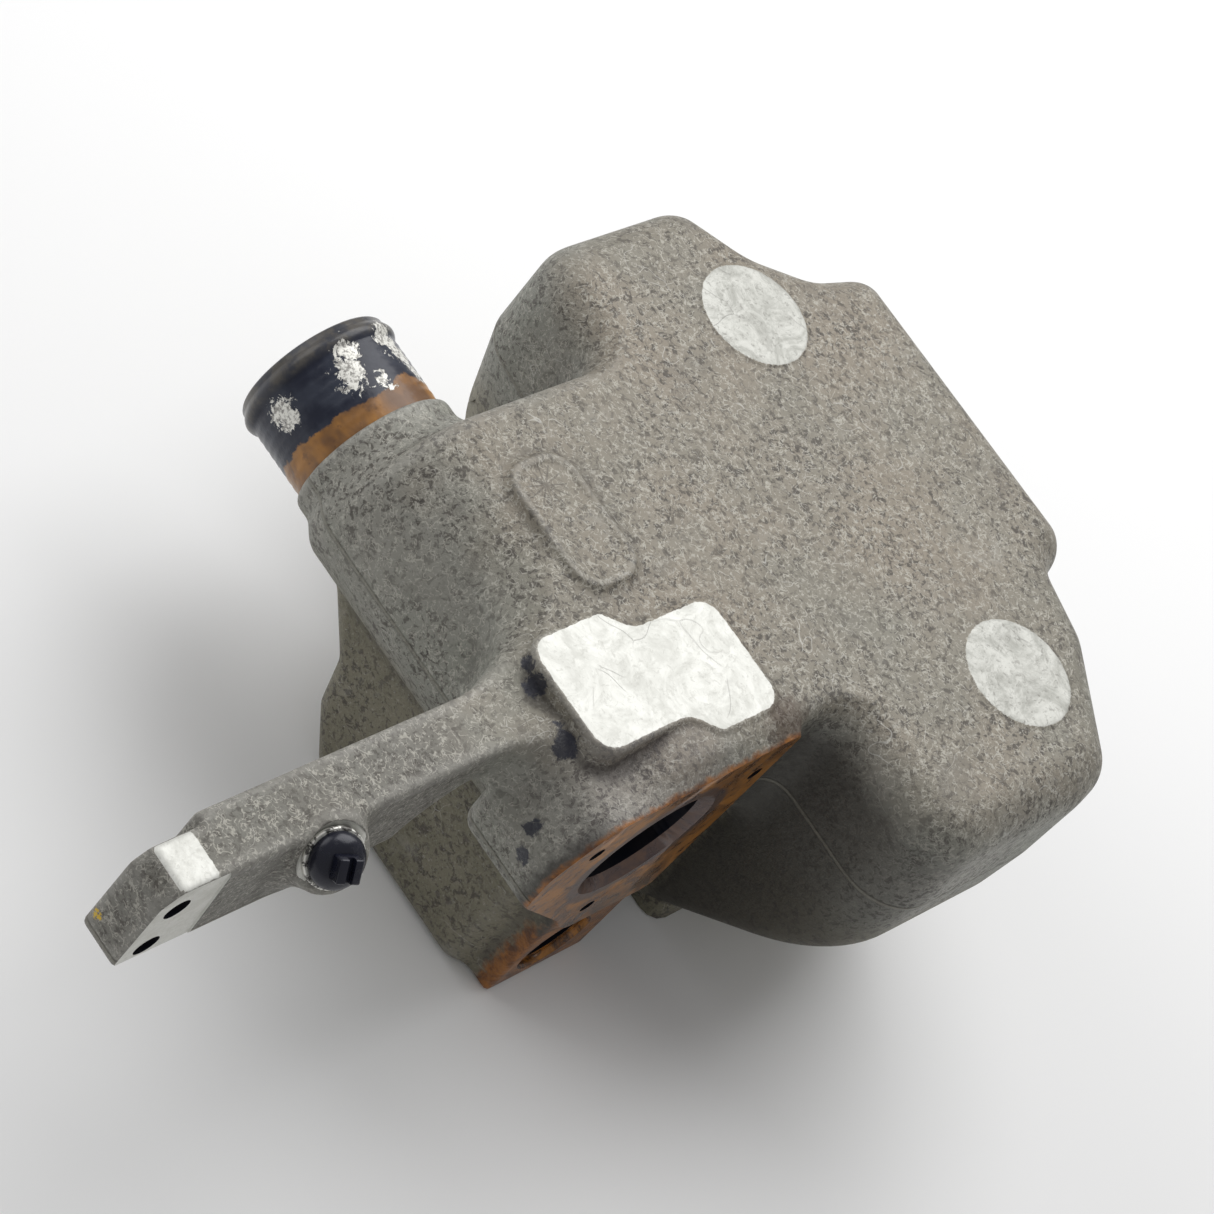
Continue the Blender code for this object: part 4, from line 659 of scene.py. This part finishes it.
def shape_object(name, shape, index=0):
    mesh = bpy.data.meshes.new(name)
    for face in shape.faces:
        face.material_index = index
    shape.to_mesh(mesh)
    shape.free()
    obj = bpy.data.objects.new(name, mesh)
    bpy.context.scene.collection.objects.link(obj)
    return obj


def apply_boolean(target, other, operation, solver="MANIFOLD"):
    step = target.modifiers.new("cut", "BOOLEAN")
    step.operation = operation
    step.solver = solver
    step.object = other
    bpy.context.view_layer.update()
    evaluated = target.evaluated_get(bpy.context.evaluated_depsgraph_get())
    mesh = bpy.data.meshes.new_from_object(evaluated)
    target.modifiers.clear()
    target.data = mesh
    bpy.data.objects.remove(other)
    return target


# ---- Housing ----

CAST, MACHINED, FLANGE, BORE = range(4)


def cad_copy(name, node):
    """A welded copy of a CAD node's mesh."""
    obj = bpy.data.objects.new(name, NODES[node].data.copy())
    bpy.context.scene.collection.objects.link(obj)
    shape = bmesh.new()
    shape.from_mesh(obj.data)
    bmesh.ops.remove_doubles(shape, verts=shape.verts, dist=1e-6)
    shape.to_mesh(obj.data)
    shape.free()
    obj.data.materials.clear()
    for polygon in obj.data.polygons:
        polygon.material_index = CAST
    return obj


def cavity():
    """The chamber's hollow with the bosses that stand in it: a core less the CAD housing."""
    outline = rounded(WALL_CORNERS, 3)
    middle = outline.mean(0)
    shape = bmesh.new()
    rings = []
    for z, keep in ((-2.0, 0.90), (100.0, 0.955), (134.0, 0.955), (152.5, 0.80)):
        points = middle + (outline - middle) * keep
        rings.append([shape.verts.new((x * MM, y * MM, z * MM)) for x, y in points])
    for low, high in zip(rings, rings[1:]):
        for i in range(len(low)):
            shape.faces.new((low[i - 1], low[i], high[i], high[i - 1]))
    shape.faces.new(rings[0])
    shape.faces.new(rings[-1])
    bmesh.ops.recalc_face_normals(shape, faces=shape.faces)
    core = shape_object("core", shape)
    return apply_boolean(core, cad_copy("cad_housing", "main_housing"), "DIFFERENCE", "EXACT")


def pad_distance(points):
    """How far inside a machined pad's outline each point is, in millimetres, negative outside."""
    x, y, z = points.T / MM
    left = 23.4 - np.hypot(x + LOBE_X, y)
    right = 23.4 - np.hypot(x - LOBE_X, y)
    port = -outline_distance(rounded(PAD_CORNERS), x, y) - 0.2
    spot = np.minimum(10.0 - np.abs(y + 357.5), 11.2 - np.abs(x - 14.9))
    discs = np.where(z > 157.2, np.maximum(left, right), -5.0)
    ports = np.where(z > 157.7, port, -5.0)
    spots = np.where((z > 147.2) & (y < -340), spot, -5.0)
    return np.maximum(np.maximum(discs, ports), spots)


def mill_tool():
    """The block that mills the arm's face, with a sloped end."""
    base = [(MILL_X, -338), (30, -338), (30, -380), (MILL_X, -380)]
    shape = bmesh.new()
    low = [shape.verts.new((x * MM, y * MM, 102 * MM)) for x, y in base]
    high = [shape.verts.new((x * MM, (y if y < -350 else y - 6) * MM, 150 * MM)) for x, y in base]
    for i in range(4):
        shape.faces.new((low[i - 1], low[i], high[i], high[i - 1]))
    shape.faces.new(low)
    shape.faces.new(high)
    bmesh.ops.recalc_face_normals(shape, faces=shape.faces)
    return shape_object("mill", shape, MACHINED)


def machine(body):
    """Cuts the machined faces, bores and holes, and the chamber's hollow."""
    def cut(tool):
        apply_boolean(body, tool, "DIFFERENCE")

    def along_x(name, radius, start, end, y, z, index, sides, end_radius=None):
        cut(cutter_rod(name, radius, (start, y, z), (end, y, z), index, sides, end_radius))

    cut(cutter_box("face", (FLANGE_X, -240, 0.5), (90, -99, 175), FLANGE))
    along_x("bore", 25, -110, 75, PIPE_Y, AXIS, BORE, 128)
    along_x("seat", 30.3, -110, -83, PIPE_Y, AXIS, BORE, 128)
    along_x("chamfer", 24, FLANGE_X - 5, FLANGE_X + 1, PIPE_Y, AXIS, FLANGE, 128, 30)
    for degrees in FLANGE_HOLE_DEGREES:
        y = PIPE_Y + FLANGE_HOLE_CIRCLE * math.cos(math.radians(degrees))
        z = AXIS + FLANGE_HOLE_CIRCLE * math.sin(math.radians(degrees))
        along_x("hole", 3.3, 46, 73, y, z, BORE, 32)
    along_x("port", 13.5, 14.5, 73, LOWER_PORT_Y, LOWER_PORT_Z, BORE, 64)
    along_x("recess", 16.5, 63.5, 73, LOWER_PORT_Y, LOWER_PORT_Z, FLANGE, 64)
    cut(cutter_rod("riser", 11.5, (28, LOWER_PORT_Y, LOWER_PORT_Z), (28, LOWER_PORT_Y, AXIS), BORE, 48))
    cut(cutter_rod("suction", 15, (-45, PIPE_Y, AXIS), (-45, -60, AXIS), BORE, 48))
    cut(mill_tool())
    for z in ARM_HOLE_HEIGHTS:
        along_x("arm_hole", 5, 0, 35, ARM_HOLE_Y, z, BORE, 64)
    foot, face = Vector(PLUG_FOOT), Vector(PLUG_FACE)
    along = (face - foot).normalized()
    face = foot + along * PLUG_REACH
    cut(cutter_rod("spot_face", 13.0, face, face + along * 20, MACHINED, 64))
    cut(cutter_rod("plug_hole", 7, foot + along * 6, face + along * 5, BORE, 48))
    cut(cavity())


def housing():
    field = casting()
    body = mesh_of("housing_casting", field)
    machine(body)
    mesh = body.data
    faces = np.empty(len(mesh.polygons), np.int32)
    mesh.polygons.foreach_get("material_index", faces)
    mesh.materials.clear()
    for material in (housing_material(), machined_material(), flange_material(), bore_material()):
        mesh.materials.append(material)
    mesh.polygons.foreach_set("material_index", faces)
    points = np.empty(len(mesh.vertices) * 3, np.float32)
    mesh.vertices.foreach_get("co", points)
    points = points.reshape(-1, 3).astype(float)
    creases = sampled(hollows(field), points / MM)
    for name, values in (("pads", pad_distance(points)), ("hollow", creases)):
        attribute = mesh.attributes.new(name, "FLOAT", "POINT")
        attribute.data.foreach_set("value", values.astype(np.float32))
    mesh.shade_smooth()
    mesh.set_sharp_from_angle(angle=math.radians(38))
    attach(body, "housing")
    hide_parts("main_housing")
    return body


# ---- Neck, plug and washer ----


def turned(name, profile, segments, closed=True):
    """A turned solid about Z from a profile (radius, height) in millimetres."""
    shape = bmesh.new()
    rings = []
    for i in range(segments):
        angle = 2 * math.pi * i / segments
        c, s = math.cos(angle) * MM, math.sin(angle) * MM
        rings.append([shape.verts.new((r * c, r * s, h * MM)) for r, h in profile])
    count = len(profile)
    for i in range(segments):
        a, b = rings[i - 1], rings[i]
        for k in range(count if closed else count - 1):
            m = (k + 1) % count
            shape.faces.new((a[k], a[m], b[m], b[k]))
    bmesh.ops.remove_doubles(shape, verts=shape.verts, dist=1e-7)
    bmesh.ops.dissolve_degenerate(shape, edges=shape.edges, dist=1e-7)
    bmesh.ops.recalc_face_normals(shape, faces=shape.faces)
    return shape_object(name, shape)


def shaded(obj, material, degrees=35):
    obj.data.materials.clear()
    obj.data.materials.append(material)
    obj.data.shade_smooth()
    obj.data.set_sharp_from_angle(angle=math.radians(degrees))
    return obj


def bake(obj):
    """Moves the mesh itself to the object's place, so that object coordinates are world coordinates."""
    bpy.context.view_layer.update()
    obj.data.transform(obj.matrix_world)
    obj.matrix_world = Matrix.Identity(4)
    return obj


DENTS = 14


def hose_neck():
    outer = [(27.5, 0.6), (27.9, 0.15), (28.6, 0.0), (29.3, 0.25), (29.9, 1.0)]
    for k in range(13):
        angle = math.pi * k / 12
        outer.append((30.0 + 1.6 * math.sin(angle) ** 1.2, 2.4 + 7.2 * k / 12))
    for z in np.linspace(11, 37.5, 22):
        outer.append((30.0 + 0.12 * math.sin(z * 1.7), float(z)))
    outer += [(30.0, 39.5), (30.0, 59.8), (27.5, 59.8)]
    neck = turned("hose_neck_tube", outer, 160)
    neck.rotation_euler = (0, math.pi / 2, 0)
    neck.location = (-144 * MM, PIPE_Y * MM, AXIS * MM)
    bake(neck)
    noise = np.random.default_rng(4)
    dents = []
    for _ in range(DENTS):
        around, where = noise.uniform(-math.pi, math.pi), noise.uniform(-0.140, -0.112)
        dents.append((around, where, noise.uniform(0.3, 0.7)))
    for vertex in neck.data.vertices:
        x, y, z = vertex.co
        dy, dz = y - PIPE_Y * MM, z - AXIS * MM
        if x < -0.106 and math.hypot(dy, dz) > 0.0285:
            angle = math.atan2(dz, dy)
            push = 0.0
            for at, where, deep in dents:
                off = math.hypot(math.remainder(angle - at, math.tau) * 30, (x - where) / MM)
                push += deep * math.exp(-(off / 4.0) ** 2)
            shrink = 1 - push * 0.35 * MM / math.hypot(dy, dz)
            vertex.co = (x, PIPE_Y * MM + dy * shrink, AXIS * MM + dz * shrink)
    shaded(neck, neck_material(), 50)
    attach(neck, "housing")
    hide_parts("hose_neck")


def plug_frame():
    """The point on the boss that the washer sits on, and the plug's direction."""
    foot, face = Vector(PLUG_FOOT) * MM, Vector(PLUG_FACE) * MM
    along = (face - foot).normalized()
    return foot + along * PLUG_REACH * MM, along


def port_plug():
    face, along = plug_frame()
    turn = along.to_track_quat("Z", "Y").to_matrix().to_4x4()
    profile = [(0, 6.2), (3.5, 6.1), (5.5, 5.8), (7.2, 5.2), (8.6, 4.2), (9.5, 3.0), (9.95, 1.6), (9.95, 0.2)]
    profile += [(9.75, 0.0), (6.7, 0), (6.7, -12), (0, -12)]
    plug = turned("plug_body", profile, 96, closed=False)
    square = bmesh.new()
    place = Matrix.Translation((0, 0, 8 * MM)) @ Matrix.Diagonal((0.0086, 0.0086, 0.006, 1))
    bmesh.ops.create_cube(square, size=1, matrix=place)
    bmesh.ops.bevel(square, geom=square.edges[:], offset=0.7 * MM, segments=3, profile=0.5, affect="EDGES")
    head = shape_object("plug_head", square)
    slot = cutter_box("plug_slot", (-1.3, -8, 8.6), (1.3, 8, 14), 0)
    apply_boolean(head, slot, "DIFFERENCE", "EXACT")
    join = bmesh.new()
    for piece in (plug, head):
        join.from_mesh(piece.data)
        bpy.data.objects.remove(piece)
    obj = shape_object("port_plug_detail", join)
    obj.matrix_world = Matrix.Translation(face + along * 2.1 * MM) @ turn
    bake(obj)
    n = Nodes("plug_black")
    dust = n.step(n.noise(240, 4, 0.7, seed=71), 0.55, 0.72)
    colour = n.mix(n.maths("MULTIPLY", dust, 0.25), (0.008, 0.009, 0.019, 1), (0.05, 0.05, 0.055, 1))
    gloss = n.maths("MULTIPLY_ADD", dust, 0.3, 0.26)
    black = n.finish(colour, 0.15, gloss, n.bump(n.noise(600, 3), 0.0002, 0.3))
    shaded(obj, black, 32)
    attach(obj, "housing")
    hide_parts("port_plug")
    profile = [(7.3, 0.1), (7.5, 1.4), (10.6, 1.5), (11.0, 1.1), (11.0, 0.2), (10.8, 0.0), (7.5, 0.0)]
    washer = turned("washer_ring", profile, 96)
    washer.matrix_world = Matrix.Translation(face + along * 0.3 * MM) @ turn
    bake(washer)
    n = Nodes("chipped_washer")
    chip = n.step(n.noise(330, 4, 0.7, 0.8, seed=72), 0.50, 0.58)
    colour = n.mix(chip, (0.80, 0.79, 0.74, 1), (0.10, 0.095, 0.09, 1))
    shaded(washer, n.finish(colour, 0.5, 0.4, n.bump(chip, 0.0004, 0.6)))
    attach(washer, "housing")
    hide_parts("port_plug_washer")


# ---- Carried-over CAD nodes ----


def dress_nodes():
    steel = plain_metal("turned_steel", (0.46, 0.46, 0.47), 1.0, 0.34)
    ground = plain_metal("ground_steel", (0.60, 0.60, 0.61), 1.0, 0.22, 420, 0.12)
    plated = plain_metal("plated_screw", (0.36, 0.36, 0.36), 0.9, 0.40)
    dark = plain_metal("blackened_steel", (0.07, 0.07, 0.075), 0.8, 0.42)
    bronze = plain_metal("bronze", (0.50, 0.30, 0.11), 1.0, 0.33)
    rubber = plain_metal("seal_rubber", (0.018, 0.018, 0.018), 0.0, 0.72)
    fibre = plain_metal("gasket_fibre", (0.075, 0.068, 0.058), 0.0, 0.85)
    looks = {
        "steel": steel, "ground_steel": ground, "screw_steel": plated, "black_steel": dark,
        "bronze": bronze, "seal_rubber": rubber, "gasket_fibre": fibre, "cast_aluminium": cover_material(),
    }
    slots = {s["node"]: s["material_slot"] for s in frame["record"]["subparts"]}
    for name, obj in NODES.items():
        if slots[name] in looks:
            obj.data.materials.clear()
            obj.data.materials.append(looks[slots[name]])
            obj.data.shade_smooth()
            obj.data.set_sharp_from_angle(angle=math.radians(35))


# ---- Floor, light and camera ----


def stage():
    shape = bmesh.new()
    bmesh.ops.create_grid(shape, x_segments=1, y_segments=1, size=6)
    floor = shape_object("floor", shape)
    floor.location.z = -0.0005
    n = Nodes("floor")
    tone = n.mix(n.step(n.noise(2, 2), 0.3, 0.7), (0.88, 0.88, 0.88, 1), (0.86, 0.86, 0.86, 1))
    floor.data.materials.append(n.finish(tone, 0.0, 0.9))
    world = bpy.data.worlds.new("studio")
    bpy.context.scene.world = world
    world.use_nodes = True
    world.node_tree.nodes["Background"].inputs[0].default_value = (1.0, 1.0, 1.0, 1)
    world.node_tree.nodes["Background"].inputs[1].default_value = 0.36
    for name, place, size, power in (
        ("top", (-0.35, 0.65, 1.35), 1.5, 22.0),
        ("left", (-1.20, -0.60, 0.85), 1.0, 5.0),
    ):
        light = bpy.data.lights.new(name, "AREA")
        light.size = size
        light.energy = power
        lamp = bpy.data.objects.new(name, light)
        bpy.context.scene.collection.objects.link(lamp)
        lamp.location = place
        lamp.rotation_euler = (Vector(place) - Vector((0, -0.1, 0.1))).to_track_quat("Z", "Y").to_euler()
    camera = bpy.data.cameras.new("camera")
    camera.lens = 112.7
    camera.sensor_width = 36
    camera.clip_end = 20
    eye = bpy.data.objects.new("camera", camera)
    bpy.context.scene.collection.objects.link(eye)
    right = Vector((0.5658, 0.6644, 0.4883))
    up = Vector((-0.7964, 0.2869, 0.5324))
    back = Vector((0.2136, -0.6901, 0.6915))
    turn = Matrix((right, up, back)).transposed().to_4x4()
    turn.translation = Vector((0.2762, -1.0509, 1.0566))
    eye.matrix_world = turn
    bpy.context.scene.camera = eye
    bpy.context.scene.view_settings.view_transform = "Standard"


housing()
hose_neck()
port_plug()
dress_nodes()
stage()
bpy.context.view_layer.update()
